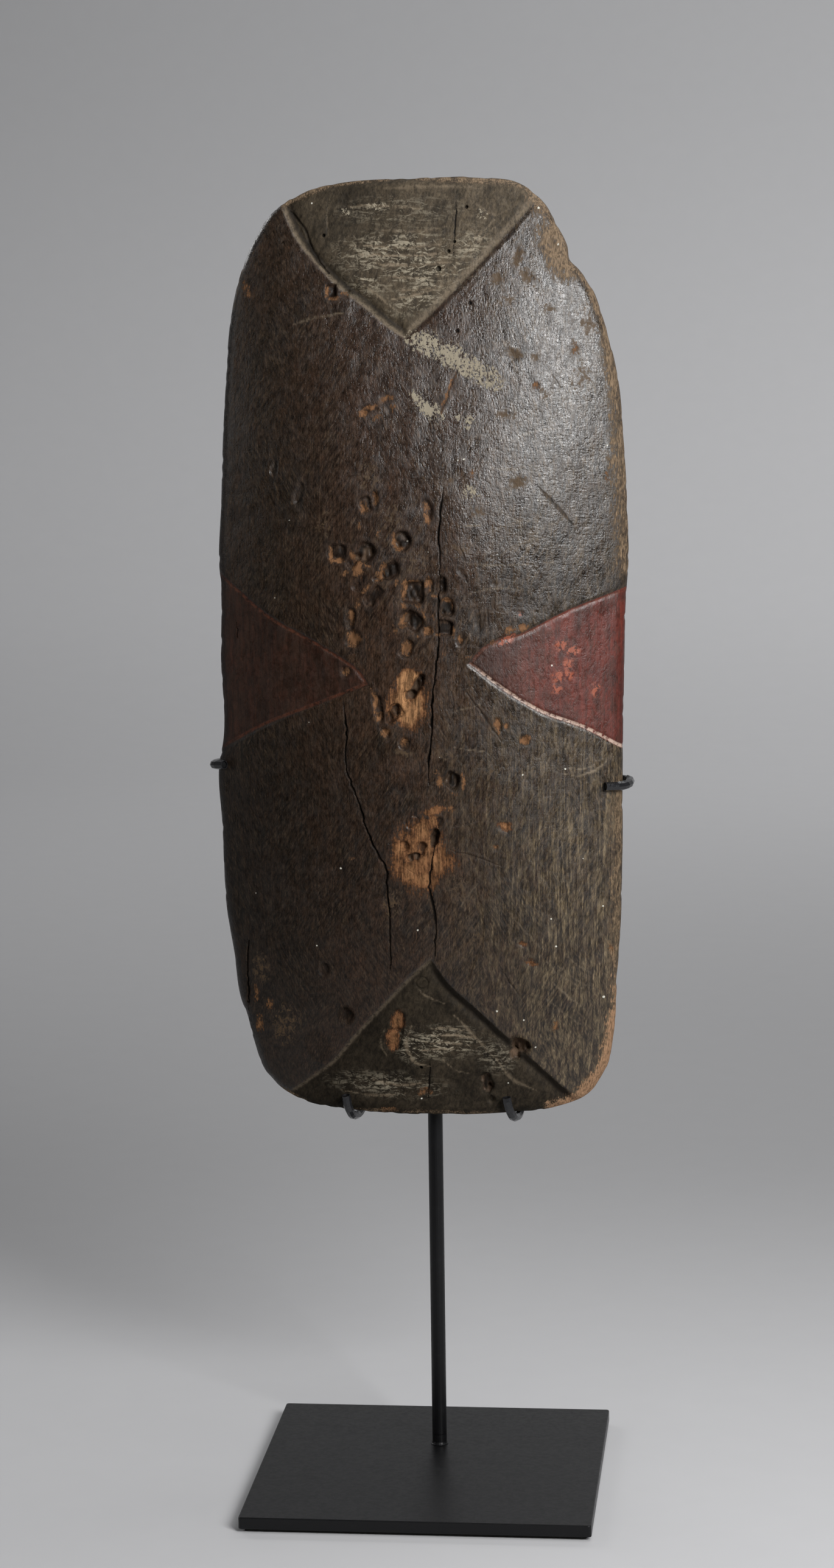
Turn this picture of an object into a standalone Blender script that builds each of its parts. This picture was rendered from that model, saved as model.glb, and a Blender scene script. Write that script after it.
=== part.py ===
"""A carved wooden shield held upright on a black steel stand.

Metres, +Z up. The origin is the middle of the stand's underside, on the floor. The shield's
face looks along -Y, and +X is to the right of someone who faces it. On the shield itself a
place is (across, up), measured from the middle of its face.
"""

import math

import bmesh
import bpy
import numpy as np
from mathutils import Vector
from mathutils.geometry import delaunay_2d_cdt

TOUCH = 0.0003

# Stand
PLATE_SIDE = 0.230
PLATE_THICK = 0.008
PLATE_CORNER = 0.002
PLATE_EDGE = 0.0007
PAD_THICK = 0.0024
PAD_INSET = 0.0035
POST_DIAMETER = 0.010
POST_ACROSS = 0.0022
POST_BACK = 0.037
POST_TOP = 0.486
POST_EDGE = 0.0006
SOCKET_TALL = 0.0074
SOCKET_FLARE = 0.0010
# The flare's profile, as (out, up), in flares
SOCKET_FLARE_PROFILE = [(1.0, 0.0), (0.4, 0.5), (0.0, 1.6)]
WIRE_DIAMETER = 0.0042
WIRE_STEP = 0.001
WIRE_TURN = 13
SLEEVE_GAP = 0.0005
SLEEVE_WALL = 0.0004
SLEEVE_LENGTH = 0.034
SLEEVE_PAST_TIP = 0.0006

# Shield: overall form
SHIELD_MIDDLE = 0.5586
FACE_HALF_WIDTH = 0.135
FACE_HALF_HEIGHT = 0.311
FACE_SQUARENESS = 4.0
FACE_CROWN = 0.036
FACE_CROWN_POWER = 2.2
FACE_EDGE_BACK = 0.011
BACK_PLANE = 0.026
FRONT_ROUND = 0.006
BACK_ROUND = 0.003

# Shield: grip carved in its back
HOLLOW_HALF_WIDTH = 0.048
HOLLOW_HALF_HEIGHT = 0.065
HOLLOW_DEPTH = 0.035
GRIP_HALF_WIDTH = 0.012
GRIP_END_HALF_WIDTH = 0.017
GRIP_HALF_THICK = 0.0085
GRIP_MIDDLE_BACK = 0.0215
GRIP_ARCH = 0.0055
GRIP_HALF_LENGTH = 0.071

# How finely the solids are faceted
EDGE_STEP = 0.010
GRID_STEP = 0.0135
GRID_CLEAR = 0.0045
LINE_STEP = 0.012
FRONT_ROUND_DEGREES = (60, 30, 0)
MIDDLE_OF_ROUND = 1 - math.sqrt(0.5)
PIT_SIDES = 8
PIT_MIDDLE = 0.6
PIT_CLEAR = 0.0012
LARGE_PIT = 0.010
LARGE_PIT_SIDES = 16
BACK_STEP = 0.040
BACK_CLEAR = 0.012
HOLLOW_RINGS = (1.0, 0.95, 0.86, 0.72, 0.5, 0.25)
HOLLOW_SIDES = 28
GRIP_STATIONS = 13
GRIP_SIDES = 14
SAME_POINT = 0.0003
ROD_SIDES = 24
WIRE_ROUNDING = 2
CORNER_SEGMENTS = 4
EDGE_SEGMENTS = 2
SHARP_DEGREES = 35

# The shield's outline, clockwise from the middle of its top, chipped corner and nicks included
OUTLINE = [
    (0.0000, 0.3104), (0.0450, 0.3100), (0.0650, 0.3068), (0.0795, 0.2970), (0.0908, 0.2787),
    (0.0973, 0.2650), (0.0985, 0.2570), (0.1040, 0.2512), (0.1131, 0.2383), (0.1194, 0.2211),
    (0.1245, 0.2045), (0.1300, 0.1764), (0.1330, 0.1420), (0.1350, 0.1000), (0.1358, 0.0620),
    (0.1338, 0.0350), (0.1325, -0.0100), (0.1313, -0.0850), (0.1297, -0.1750),
    (0.1270, -0.2150), (0.1242, -0.2553), (0.1190, -0.2790), (0.1070, -0.2960),
    (0.0847, -0.3049), (0.0518, -0.3087), (0.0000, -0.3107), (-0.0575, -0.3072),
    (-0.0821, -0.3029), (-0.0991, -0.2942), (-0.1100, -0.2830), (-0.1183, -0.2596),
    (-0.1222, -0.2430), (-0.1253, -0.2350), (-0.1303, -0.1982), (-0.1340, -0.1750),
    (-0.1362, -0.1150), (-0.1371, -0.0700), (-0.1346, -0.0590), (-0.1345, 0.0000),
    (-0.1334, 0.0450), (-0.1343, 0.0600), (-0.1318, 0.1020), (-0.1296, 0.1450),
    (-0.1270, 0.1790), (-0.1230, 0.2210), (-0.1170, 0.2470), (-0.1085, 0.2680),
    (-0.0985, 0.2850), (-0.0871, 0.2951), (-0.0700, 0.3035), (-0.0457, 0.3084),
    (-0.0200, 0.3100),
]

# Carved angles: the two arms of each, from the rim to the point where they meet
TOP_V = (
    [(-0.0973, 0.3135), (-0.0877, 0.2937), (-0.0773, 0.2721), (-0.0622, 0.2541),
     (-0.0478, 0.2396), (-0.0331, 0.2290), (-0.0184, 0.2164), (-0.0058, 0.2078)],
    [(0.0950, 0.3136), (0.0800, 0.2967), (0.0534, 0.2669), (0.0284, 0.2406),
     (0.0105, 0.2231), (-0.0058, 0.2078)],
)
BOTTOM_V = (
    [(0.1145, -0.3117), (0.0990, -0.2970), (0.0683, -0.2660), (0.0341, -0.2322),
     (0.0179, -0.2165), (0.0055, -0.1984)],
    [(-0.1160, -0.3119), (-0.0788, -0.2837), (-0.0649, -0.2730), (-0.0472, -0.2525),
     (-0.0237, -0.2267), (-0.0003, -0.2031), (0.0055, -0.1984)],
)
RIGHT_TRIANGLE = (
    [(0.1450, 0.0495), (0.1349, 0.0456), (0.0989, 0.0329), (0.0702, 0.0194),
     (0.0425, 0.0094), (0.0334, -0.0008)],
    [(0.1420, -0.0680), (0.1313, -0.0611), (0.1073, -0.0461), (0.0806, -0.0347),
     (0.0540, -0.0175), (0.0334, -0.0008)],
)
LEFT_TRIANGLE = (
    [(-0.1420, -0.0660), (-0.1320, -0.0603), (-0.1043, -0.0445), (-0.0597, -0.0260),
     (-0.0314, -0.0142)],
    [(-0.1420, 0.0620), (-0.1305, 0.0540), (-0.0913, 0.0253), (-0.0759, 0.0179),
     (-0.0514, 0.0046), (-0.0377, -0.0051), (-0.0314, -0.0142)],
)

# Each angle with the depth of its line, the depth of the panel it encloses, and how far the
# line's slopes reach outside and inside the panel
ANGLES = [
    (TOP_V, 0.0034, 0.0011, 0.0042, 0.0034),
    (BOTTOM_V, 0.0028, 0.0009, 0.0038, 0.0030),
    (RIGHT_TRIANGLE, 0.0012, 0.0004, 0.0018, 0.0018),
    (LEFT_TRIANGLE, 0.0012, 0.0004, 0.0018, 0.0018),
]

# Long drying cracks, with how deep and how wide on each side
CRACKS = [
    ([(0.0192, 0.1149), (0.0161, 0.0681), (0.0151, 0.0421), (0.0139, 0.0058),
      (0.0104, -0.0196), (0.0096, -0.0432), (0.0073, -0.0637), (0.0070, -0.0803)],
     0.0030, 0.0008),
    ([(-0.0483, -0.0273), (-0.0467, -0.0529), (-0.0482, -0.0678), (-0.0401, -0.0899),
      (-0.0367, -0.1029), (-0.0280, -0.1257), (-0.0226, -0.1351), (-0.0222, -0.1487),
      (-0.0209, -0.1771), (-0.0214, -0.2062)],
     0.0026, 0.0008),
]

# Pits, chips and knots: across, up, half width, half height, depth
PITS = [
    (-0.0118, 0.0780, 0.0042, 0.0042, 0.0024),
    (-0.0523, 0.0716, 0.0048, 0.0046, 0.0016),
    (-0.0191, 0.0592, 0.0040, 0.0042, 0.0018),
    (-0.0269, 0.0465, 0.0046, 0.0040, 0.0018),
    (-0.0010, 0.0485, 0.0060, 0.0050, 0.0024),
    (0.0060, 0.0380, 0.0040, 0.0045, 0.0020),
    (-0.0032, 0.0284, 0.0046, 0.0042, 0.0020),
    (0.0204, 0.0212, 0.0036, 0.0036, 0.0016),
    (0.0298, 0.0589, 0.0036, 0.0032, 0.0014),
    (-0.0428, 0.0278, 0.0030, 0.0046, 0.0014),
    (-0.0410, 0.0151, 0.0030, 0.0040, 0.0014),
    (-0.0062, 0.0114, 0.0050, 0.0042, 0.0018),
    (-0.0045, -0.0233, 0.0145, 0.0200, 0.0014),
    (-0.0019, -0.0176, 0.0040, 0.0066, 0.0034),
    (-0.0175, -0.0300, 0.0038, 0.0060, 0.0020),
    (0.0226, -0.0766, 0.0056, 0.0056, 0.0026),
    (0.0023, -0.1280, 0.0220, 0.0262, 0.0012),
    (0.0107, -0.1144, 0.0040, 0.0050, 0.0034),
    (-0.0032, -0.1296, 0.0050, 0.0040, 0.0034),
    (0.0628, -0.2598, 0.0058, 0.0056, 0.0040),
    (0.0398, -0.2870, 0.0040, 0.0060, 0.0026),
    (-0.0197, -0.2504, 0.0066, 0.0140, 0.0009),
]

# Wires, as (x, y, z), from the tip of the left finger to the tip of the right one
SIDE_ARM = [
    (-0.1324, 0.0050, 0.4872), (-0.1373, 0.0089, 0.4866), (-0.1399, 0.0133, 0.4861),
    (-0.1408, 0.0180, 0.4857), (-0.1408, 0.0230, 0.4854), (-0.1388, 0.0276, 0.4850),
    (-0.1342, 0.0295, 0.4849), (-0.1200, 0.0295, 0.4846), (0.0000, 0.0295, 0.4800),
    (0.1120, 0.0295, 0.4756), (0.1255, 0.0295, 0.4754), (0.1322, 0.0281, 0.4750),
    (0.1355, 0.0240, 0.4745), (0.1360, 0.0190, 0.4741), (0.1350, 0.0130, 0.4738),
    (0.1325, 0.0072, 0.4736), (0.1284, 0.0030, 0.4737), (0.1212, -0.0009, 0.4741),
]
LOWER_ARM = [
    (-0.0545, 0.0042, 0.2628), (-0.0540, 0.0046, 0.2588), (-0.0528, 0.0062, 0.2538),
    (-0.0513, 0.0103, 0.2490), (-0.0498, 0.0165, 0.2468), (-0.0482, 0.0232, 0.2467),
    (-0.0470, 0.0281, 0.2489), (-0.0461, 0.0298, 0.2535), (-0.0455, 0.0295, 0.2660),
    (-0.0425, 0.0295, 0.2730), (-0.0350, 0.0295, 0.2765), (-0.0250, 0.0295, 0.2770),
    (0.0410, 0.0295, 0.2770), (0.0510, 0.0295, 0.2765), (0.0585, 0.0295, 0.2730),
    (0.0610, 0.0295, 0.2660), (0.0610, 0.0298, 0.2535), (0.0607, 0.0281, 0.2489),
    (0.0598, 0.0232, 0.2467), (0.0584, 0.0165, 0.2467), (0.0570, 0.0103, 0.2489),
    (0.0553, 0.0062, 0.2538), (0.0540, 0.0046, 0.2588), (0.0535, 0.0042, 0.2626),
]

# Colours are linear red, green, blue
WOOD_COLOUR = (0.035, 0.022, 0.016)
STEEL_COLOUR = (0.012, 0.012, 0.013)
PAD_COLOUR = (0.008, 0.008, 0.008)
SLEEVE_COLOUR = (0.020, 0.020, 0.022)


def material(name, colour, roughness, metallic=0.0):
    made = bpy.data.materials.new(name)
    made.use_nodes = True
    shader = made.node_tree.nodes["Principled BSDF"]
    shader.inputs["Base Color"].default_value = (*colour, 1.0)
    shader.inputs["Roughness"].default_value = roughness
    shader.inputs["Metallic"].default_value = metallic
    made.diffuse_color = (*colour, 1.0)
    return made


def place(name, data, finish, location=(0, 0, 0)):
    """Adds one named object, at its location, with its material."""
    placed = bpy.data.objects.new(name, data)
    bpy.context.scene.collection.objects.link(placed)
    placed.location = location
    data.materials.append(finish)
    return placed


def mesh_from(name, builder):
    """A mesh from a filled bmesh, shaded smooth except across its sharp edges."""
    bmesh.ops.recalc_face_normals(builder, faces=builder.faces)
    mesh = bpy.data.meshes.new(name)
    builder.to_mesh(mesh)
    builder.free()
    mesh.shade_smooth()
    mesh.set_sharp_from_angle(angle=math.radians(SHARP_DEGREES))
    return mesh


def smooth(points, spacing, closed=False):
    """Points along a smooth curve through the given ones, no further apart than the spacing."""
    points = np.array(points, float)
    if closed:
        ring = np.vstack([points[-1], points, points[:2]])
    else:
        ring = np.vstack([2 * points[0] - points[1], points, 2 * points[-1] - points[-2]])
    lengths = np.linalg.norm(np.diff(ring, axis=0), axis=1)[:, None]
    slopes = np.diff(ring, axis=0) / lengths
    tangents = slopes[:-1] * lengths[1:] + slopes[1:] * lengths[:-1]
    tangents /= lengths[1:] + lengths[:-1]
    if closed:
        tangents = np.vstack([tangents, tangents[:1]])
    curve = []
    for index in range(len(ring) - 3):
        start, end = ring[index + 1], ring[index + 2]
        run = lengths[index + 1]
        steps = max(1, math.ceil(float(run[0]) / spacing - 1e-6))
        for t in np.arange(steps) / steps:
            curve.append(
                start * (2 * t**3 - 3 * t**2 + 1)
                + end * (3 * t**2 - 2 * t**3)
                + tangents[index] * run * (t**3 - 2 * t**2 + t)
                + tangents[index + 1] * run * (t**3 - t**2)
            )
    if not closed:
        curve.append(points[-1])
    return np.array(curve)


def thinned(path, degrees):
    """The path without the points where it has hardly turned since the last one kept."""
    kept = [path[0]]
    heading = path[1] - path[0]
    for point, following in zip(path[1:-1], path[2:]):
        run = following - point
        cosine = heading @ run / np.linalg.norm(heading) / np.linalg.norm(run)
        if cosine < math.cos(math.radians(degrees)):
            kept.append(point)
            heading = run
    kept.append(path[-1])
    return np.array(kept)


def distance_to(points, path):
    """How far each point is from a path of straight runs."""
    nearest = np.full(len(points), np.inf)
    for start, end in zip(path[:-1], path[1:]):
        run = end - start
        along = np.clip((points - start) @ run / (run @ run), 0, 1)
        gaps = np.linalg.norm(points - start - along[:, None] * run, axis=1)
        nearest = np.minimum(nearest, gaps)
    return nearest


def inside(points, polygon):
    """Which points are inside a polygon."""
    across, up = points.T
    result = np.zeros(len(points), bool)
    for (x1, y1), (x2, y2) in zip(polygon, np.roll(polygon, -1, axis=0)):
        if y1 != y2:
            crossing = x1 + (x2 - x1) * (up - y1) / (y2 - y1)
            result ^= ((y1 > up) != (y2 > up)) & (across < crossing)
    return result


def side_of(path, distance, closed=False):
    """The path moved sideways by a distance, to its left, mitred at its corners."""
    if closed:
        ring = np.vstack([path[-1], path, path[0]])
    else:
        ring = np.vstack([2 * path[0] - path[1], path, 2 * path[-1] - path[-2]])
    runs = np.diff(ring, axis=0)
    runs /= np.linalg.norm(runs, axis=1)[:, None]
    normals = np.stack([-runs[:, 1], runs[:, 0]], axis=1)
    middle = normals[:-1] + normals[1:]
    middle /= np.linalg.norm(middle, axis=1)[:, None]
    stretch = np.clip((middle * normals[1:]).sum(axis=1), 0.4, 1.0)
    return path + middle * (distance / stretch)[:, None]


def angle_path(arms):
    """One path in along the first arm of an angle and out along the second."""
    first, second = (smooth(arm, LINE_STEP) for arm in arms)
    return np.vstack([first, second[::-1][1:]])


def face_depth(points):
    """How far back the uncut face lies, from its crown to its edge."""
    across = (np.abs(points[:, 0]) / FACE_HALF_WIDTH) ** FACE_SQUARENESS
    up = (np.abs(points[:, 1]) / FACE_HALF_HEIGHT) ** FACE_SQUARENESS
    reach = (across + up) ** (FACE_CROWN_POWER / FACE_SQUARENESS)
    return FACE_EDGE_BACK - FACE_CROWN * (1 - reach)


def rounding(points, outline):
    """How far back the rounded rim takes the face."""
    gap = distance_to(points, np.vstack([outline, outline[:1]]))
    inward = np.clip(FRONT_ROUND - gap, 0, FRONT_ROUND)
    return FRONT_ROUND - np.sqrt(FRONT_ROUND**2 - inward**2)


def carving(points):
    """How deep the angles, cracks and pits cut into the face."""
    depth = np.zeros(len(points))
    for arms, line_depth, panel_depth, reach_out, reach_in in ANGLES:
        path = angle_path(arms)
        gap = distance_to(points, path)
        panel = inside(points, path)
        cut_out = line_depth * np.clip(1 - gap / reach_out, 0, 1)
        cut_in = panel_depth + (line_depth - panel_depth) * np.clip(1 - gap / reach_in, 0, 1)
        depth += np.where(panel, cut_in, cut_out)
    for path, crack_depth, half_width in CRACKS:
        gap = distance_to(points, smooth(path, LINE_STEP))
        depth += crack_depth * np.clip(1 - gap / half_width, 0, 1)
    for across, up, half_width, half_height, pit_depth in PITS:
        offset = (points - (across, up)) / (half_width, half_height)
        depth += pit_depth * np.clip(1 - (offset**2).sum(axis=1), 0, 1)
    return depth


def hollow(points):
    """How deep the hollow for the hand cuts into the back."""
    offset = points / (HOLLOW_HALF_WIDTH, HOLLOW_HALF_HEIGHT)
    reach = (offset**2).sum(axis=1)
    return HOLLOW_DEPTH * np.clip(1 - reach**2, 0, 1)


class Plan:
    """Points and lines on the shield's plan, to be joined up by triangles."""

    def __init__(self):
        self.points = np.empty((0, 2))
        self.edges = []

    def line(self, path, closed=False):
        first = len(self.points)
        last = first + len(path)
        self.points = np.vstack([self.points, path])
        self.edges += [(i, i + 1) for i in range(first, last - 1)]
        if closed:
            self.edges.append((last - 1, first))

    def spots(self, places, clear):
        """Adds loose points, but none closer than the clear distance to what is there."""
        for spot in places:
            starts = self.points[[a for a, _ in self.edges]]
            ends = self.points[[b for _, b in self.edges]]
            runs = ends - starts
            along = ((spot - starts) * runs).sum(axis=1) / (runs**2).sum(axis=1)
            foot = starts + np.clip(along, 0, 1)[:, None] * runs
            near = min(
                np.linalg.norm(foot - spot, axis=1).min(),
                np.linalg.norm(self.points - spot, axis=1).min(),
            )
            if near > clear:
                self.points = np.vstack([self.points, spot])

    def triangles(self):
        places = [Vector(point) for point in self.points]
        points, _, faces, *_ = delaunay_2d_cdt(places, self.edges, [], 1, 1e-9)
        return np.array([tuple(point) for point in points]), [tuple(face) for face in faces]


def grid(polygon, step, margin):
    """Points in staggered rows inside a polygon, at least the margin from its edge."""
    low, high = polygon.min(axis=0), polygon.max(axis=0)
    rows = np.arange(low[1], high[1], step * math.sqrt(0.75))
    found = []
    for index, up in enumerate(rows):
        start = low[0] + (index % 2) * step / 2
        found += [(across, up) for across in np.arange(start, high[0], step)]
    found = np.array(found)
    found = found[inside(found, polygon)]
    return found[distance_to(found, np.vstack([polygon, polygon[:1]])) > margin]


def oval(across, up, half_width, half_height, count, turn=0.0):
    angles = np.arange(count) * 2 * math.pi / count + turn
    return np.stack(
        [across + half_width * np.cos(angles), up + half_height * np.sin(angles)], axis=1
    )


def face_plan(outline):
    """The triangulated face, with its rounded rim, carved lines and pits."""
    plan = Plan()
    plan.line(outline, closed=True)
    for degrees in FRONT_ROUND_DEGREES:
        inset = FRONT_ROUND * (1 - math.sin(math.radians(degrees)))
        plan.line(side_of(outline, -inset, closed=True), closed=True)
    for arms, _, _, reach_out, reach_in in ANGLES:
        path = angle_path(arms)
        plan.line(path)
        plan.line(side_of(path, -reach_out))
        plan.line(side_of(path, reach_in))
    for path, _, half_width in CRACKS:
        route = smooth(path, 2 * LINE_STEP)
        plan.line(route)
        for side in (-half_width, half_width):
            plan.line(side_of(route, side))
    for across, up, half_width, half_height, _ in PITS:
        sides = PIT_SIDES if half_height < LARGE_PIT else LARGE_PIT_SIDES
        rings = [(0, 1, 0), (1, sides, 0), (PIT_MIDDLE, sides, math.pi / sides)]
        for reach, number, turn in rings:
            ring = oval(across, up, reach * half_width, reach * half_height, number, turn)
            plan.spots(ring, PIT_CLEAR)
    plan.spots(grid(outline, GRID_STEP, FRONT_ROUND), GRID_CLEAR)
    return plan.triangles()


def back_plan(rim):
    """The triangulated back, with the hollow for the hand."""
    plan = Plan()
    plan.line(rim, closed=True)
    for reach in HOLLOW_RINGS:
        half_width, half_height = reach * HOLLOW_HALF_WIDTH, reach * HOLLOW_HALF_HEIGHT
        plan.line(oval(0, 0, half_width, half_height, HOLLOW_SIDES), closed=True)
    plan.spots(np.zeros((1, 2)), PIT_CLEAR)
    plan.spots(grid(rim, BACK_STEP, BACK_CLEAR), BACK_CLEAR)
    return plan.triangles()


def boundary(faces):
    """The points round the edge of a triangulated plan, in order."""
    edges = [edge for face in faces for edge in zip(face, face[1:] + face[:1])]
    known = set(edges)
    following = {start: end for start, end in edges if (end, start) not in known}
    loop = [next(iter(following))]
    while following[loop[-1]] != loop[0]:
        loop.append(following[loop[-1]])
    return loop


def shield_mesh():
    """The shield without its grip: the carved face, the wall and the hollowed back."""
    outline = smooth(OUTLINE, EDGE_STEP, closed=True)
    face_points, face_faces = face_plan(outline)
    depths = face_depth(face_points) + rounding(face_points, outline) + carving(face_points)
    loop = boundary(face_faces)
    edge = face_points[loop]
    middle = MIDDLE_OF_ROUND * BACK_ROUND
    rings = [
        (edge, BACK_PLANE - BACK_ROUND),
        (side_of(edge, middle, closed=True), BACK_PLANE - middle),
    ]
    rim = side_of(edge, BACK_ROUND, closed=True)
    back_points, back_faces = back_plan(rim)
    back_depths = BACK_PLANE - hollow(back_points)

    builder = bmesh.new()

    def add(points, depth):
        depth = np.broadcast_to(depth, len(points))
        return [builder.verts.new((p[0], y, p[1])) for p, y in zip(points, depth)]

    face_verts = add(face_points, depths)
    back_verts = add(back_points, back_depths)
    for face in face_faces:
        builder.faces.new([face_verts[i] for i in face])
    for face in back_faces:
        builder.faces.new([back_verts[i] for i in reversed(face)])
    back_rim = [
        back_verts[int(np.linalg.norm(back_points - point, axis=1).argmin())] for point in rim
    ]
    loops = [[face_verts[i] for i in loop]]
    loops += [add(points, depth) for points, depth in rings]
    loops.append(back_rim)
    for near, far in zip(loops[:-1], loops[1:]):
        for i in range(len(near)):
            j = (i + 1) % len(near)
            builder.faces.new((near[i], far[i], far[j], near[j]))
    bmesh.ops.triangulate(builder, faces=[f for f in builder.faces if len(f.verts) > 3])
    bmesh.ops.remove_doubles(builder, verts=builder.verts, dist=SAME_POINT)
    return mesh_from("shield", builder)


def grip_mesh():
    """The bar that the hand closes on, arched along its length, oval across."""
    builder = bmesh.new()
    rings = []
    for t in np.linspace(-1, 1, GRIP_STATIONS):
        half_width = GRIP_HALF_WIDTH + (GRIP_END_HALF_WIDTH - GRIP_HALF_WIDTH) * t**4
        middle = GRIP_MIDDLE_BACK - GRIP_ARCH * t**2
        ring = oval(0, middle, half_width, GRIP_HALF_THICK, GRIP_SIDES)
        height = t * GRIP_HALF_LENGTH
        rings.append([builder.verts.new((x, y, height)) for x, y in ring])
    for near, far in zip(rings[:-1], rings[1:]):
        for i in range(len(near)):
            j = (i + 1) % len(near)
            builder.faces.new((near[i], near[j], far[j], far[i]))
    builder.faces.new(rings[0][::-1])
    builder.faces.new(rings[-1])
    return mesh_from("grip", builder)


def make_shield(finish):
    shield = place("shield", shield_mesh(), finish, (0, 0, SHIELD_MIDDLE))
    grip = place("grip_shape", grip_mesh(), finish, (0, 0, SHIELD_MIDDLE))
    grip.hide_render = True
    grip.display_type = "WIRE"
    union = shield.modifiers.new("grip", "BOOLEAN")
    union.operation = "UNION"
    union.object = grip
    return shield


def slab(name, side, thick, corner, edge, finish, location):
    """A square slab with rounded corners and eased edges, standing on its location."""
    builder = bmesh.new()
    bmesh.ops.create_cube(builder, size=1.0)
    bmesh.ops.scale(builder, vec=(side, side, thick), verts=builder.verts)
    upright = [e for e in builder.edges if abs(e.verts[0].co.z - e.verts[1].co.z) > thick / 2]
    bmesh.ops.bevel(
        builder, geom=upright, offset=corner, segments=CORNER_SEGMENTS, profile=0.5,
        affect="EDGES",
    )
    made = place(name, mesh_from(name, builder), finish, location)
    made.location.z += thick / 2
    if edge:
        bevel = made.modifiers.new("eased edges", "BEVEL")
        bevel.width = edge
        bevel.segments = EDGE_SEGMENTS
        bevel.limit_method = "ANGLE"
        bevel.angle_limit = math.radians(60)
    return made


def turned(name, profile, finish, location):
    """A solid of revolution, from (radius, height) pairs that run from its foot to its top."""
    builder = bmesh.new()
    rings = []
    for radius, height in profile:
        ring = oval(0, 0, radius, radius, ROD_SIDES)
        rings.append([builder.verts.new((x, y, height)) for x, y in ring])
    for near, far in zip(rings[:-1], rings[1:]):
        for i in range(ROD_SIDES):
            j = (i + 1) % ROD_SIDES
            builder.faces.new((near[i], near[j], far[j], far[i]))
    builder.faces.new(rings[0][::-1])
    builder.faces.new(rings[-1])
    return place(name, mesh_from(name, builder), finish, location)


def tube(name, path, radius, finish, wall=None):
    """A round wire along a path, or with a wall a hollow tube."""
    curve = bpy.data.curves.new(name, "CURVE")
    curve.dimensions = "3D"
    curve.bevel_depth = radius
    curve.bevel_resolution = WIRE_ROUNDING
    curve.use_fill_caps = wall is None
    spline = curve.splines.new("POLY")
    spline.points.add(len(path) - 1)
    for point, where in zip(spline.points, path):
        point.co = (*where, 1.0)
    made = place(name, curve, finish)
    if wall is not None:
        solidify = made.modifiers.new("wall", "SOLIDIFY")
        solidify.thickness = wall
        solidify.offset = -1.0
        solidify.use_even_offset = True
    return made


def stretch_of(path, length, past):
    """The first stretch of a path, started a little before its first point."""
    lead = path[0] - path[1]
    lead *= past / np.linalg.norm(lead)
    run = np.cumsum(np.linalg.norm(np.diff(path, axis=0), axis=1))
    kept = int(np.searchsorted(run, length)) + 2
    return np.vstack([path[0] + lead, path[1:kept]])


def make_stand(steel, pad_finish, sleeve_finish):
    slab(
        "base_pad", PLATE_SIDE - 2 * PAD_INSET, PAD_THICK - TOUCH, PLATE_CORNER, 0,
        pad_finish, (0, 0, 0),
    )
    slab(
        "base_plate", PLATE_SIDE, PLATE_THICK, PLATE_CORNER, PLATE_EDGE,
        steel, (0, 0, PAD_THICK),
    )
    plate_top = PAD_THICK + PLATE_THICK
    radius = POST_DIAMETER / 2
    foot = (POST_ACROSS, POST_BACK, plate_top + TOUCH)
    socket_profile = [
        (radius + out * SOCKET_FLARE, up * SOCKET_FLARE) for out, up in SOCKET_FLARE_PROFILE
    ]
    socket_profile.append((radius, SOCKET_TALL - TOUCH))
    turned("post_socket", socket_profile, steel, foot)
    post_foot = plate_top + SOCKET_TALL + TOUCH
    post_tall = POST_TOP - post_foot
    post_profile = [
        (radius, 0), (radius, post_tall - POST_EDGE), (radius - POST_EDGE, post_tall),
    ]
    turned("post", post_profile, steel, (POST_ACROSS, POST_BACK, post_foot))

    wire = WIRE_DIAMETER / 2
    sleeve = wire + SLEEVE_GAP + SLEEVE_WALL
    for name, points, ends in (
        ("side_arm", SIDE_ARM, ("sleeve_left", "sleeve_right")),
        ("lower_arm", LOWER_ARM, ("sleeve_lower_left", "sleeve_lower_right")),
    ):
        path = thinned(smooth(points, WIRE_STEP), WIRE_TURN)
        tube(name, path, wire, steel)
        for end, run in zip(ends, (path, path[::-1])):
            covered = stretch_of(run, SLEEVE_LENGTH, SLEEVE_PAST_TIP)
            tube(end, covered, sleeve, sleeve_finish, wall=SLEEVE_WALL)


def main():
    for old in list(bpy.data.objects):
        bpy.data.objects.remove(old)
    wood = material("carved wood", WOOD_COLOUR, 0.55)
    steel = material("black painted steel", STEEL_COLOUR, 0.40)
    pad = material("black pad", PAD_COLOUR, 0.90)
    sleeve = material("sleeve", SLEEVE_COLOUR, 0.25)
    make_shield(wood)
    make_stand(steel, pad, sleeve)


main()
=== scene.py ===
"""Dresses the carved shield and its stand, and sets the floor, the lights and the camera.

The shield's own measures are in millimetres here. A place on its face is (across, up), from the
middle of the face. Everything is turned into metres, in the frame of the solids, as it is built.
"""

import math
from functools import reduce
from itertools import chain

import bmesh
import bpy
import numpy as np
from mathutils import Matrix, Vector
from mathutils.geometry import delaunay_2d_cdt

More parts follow.
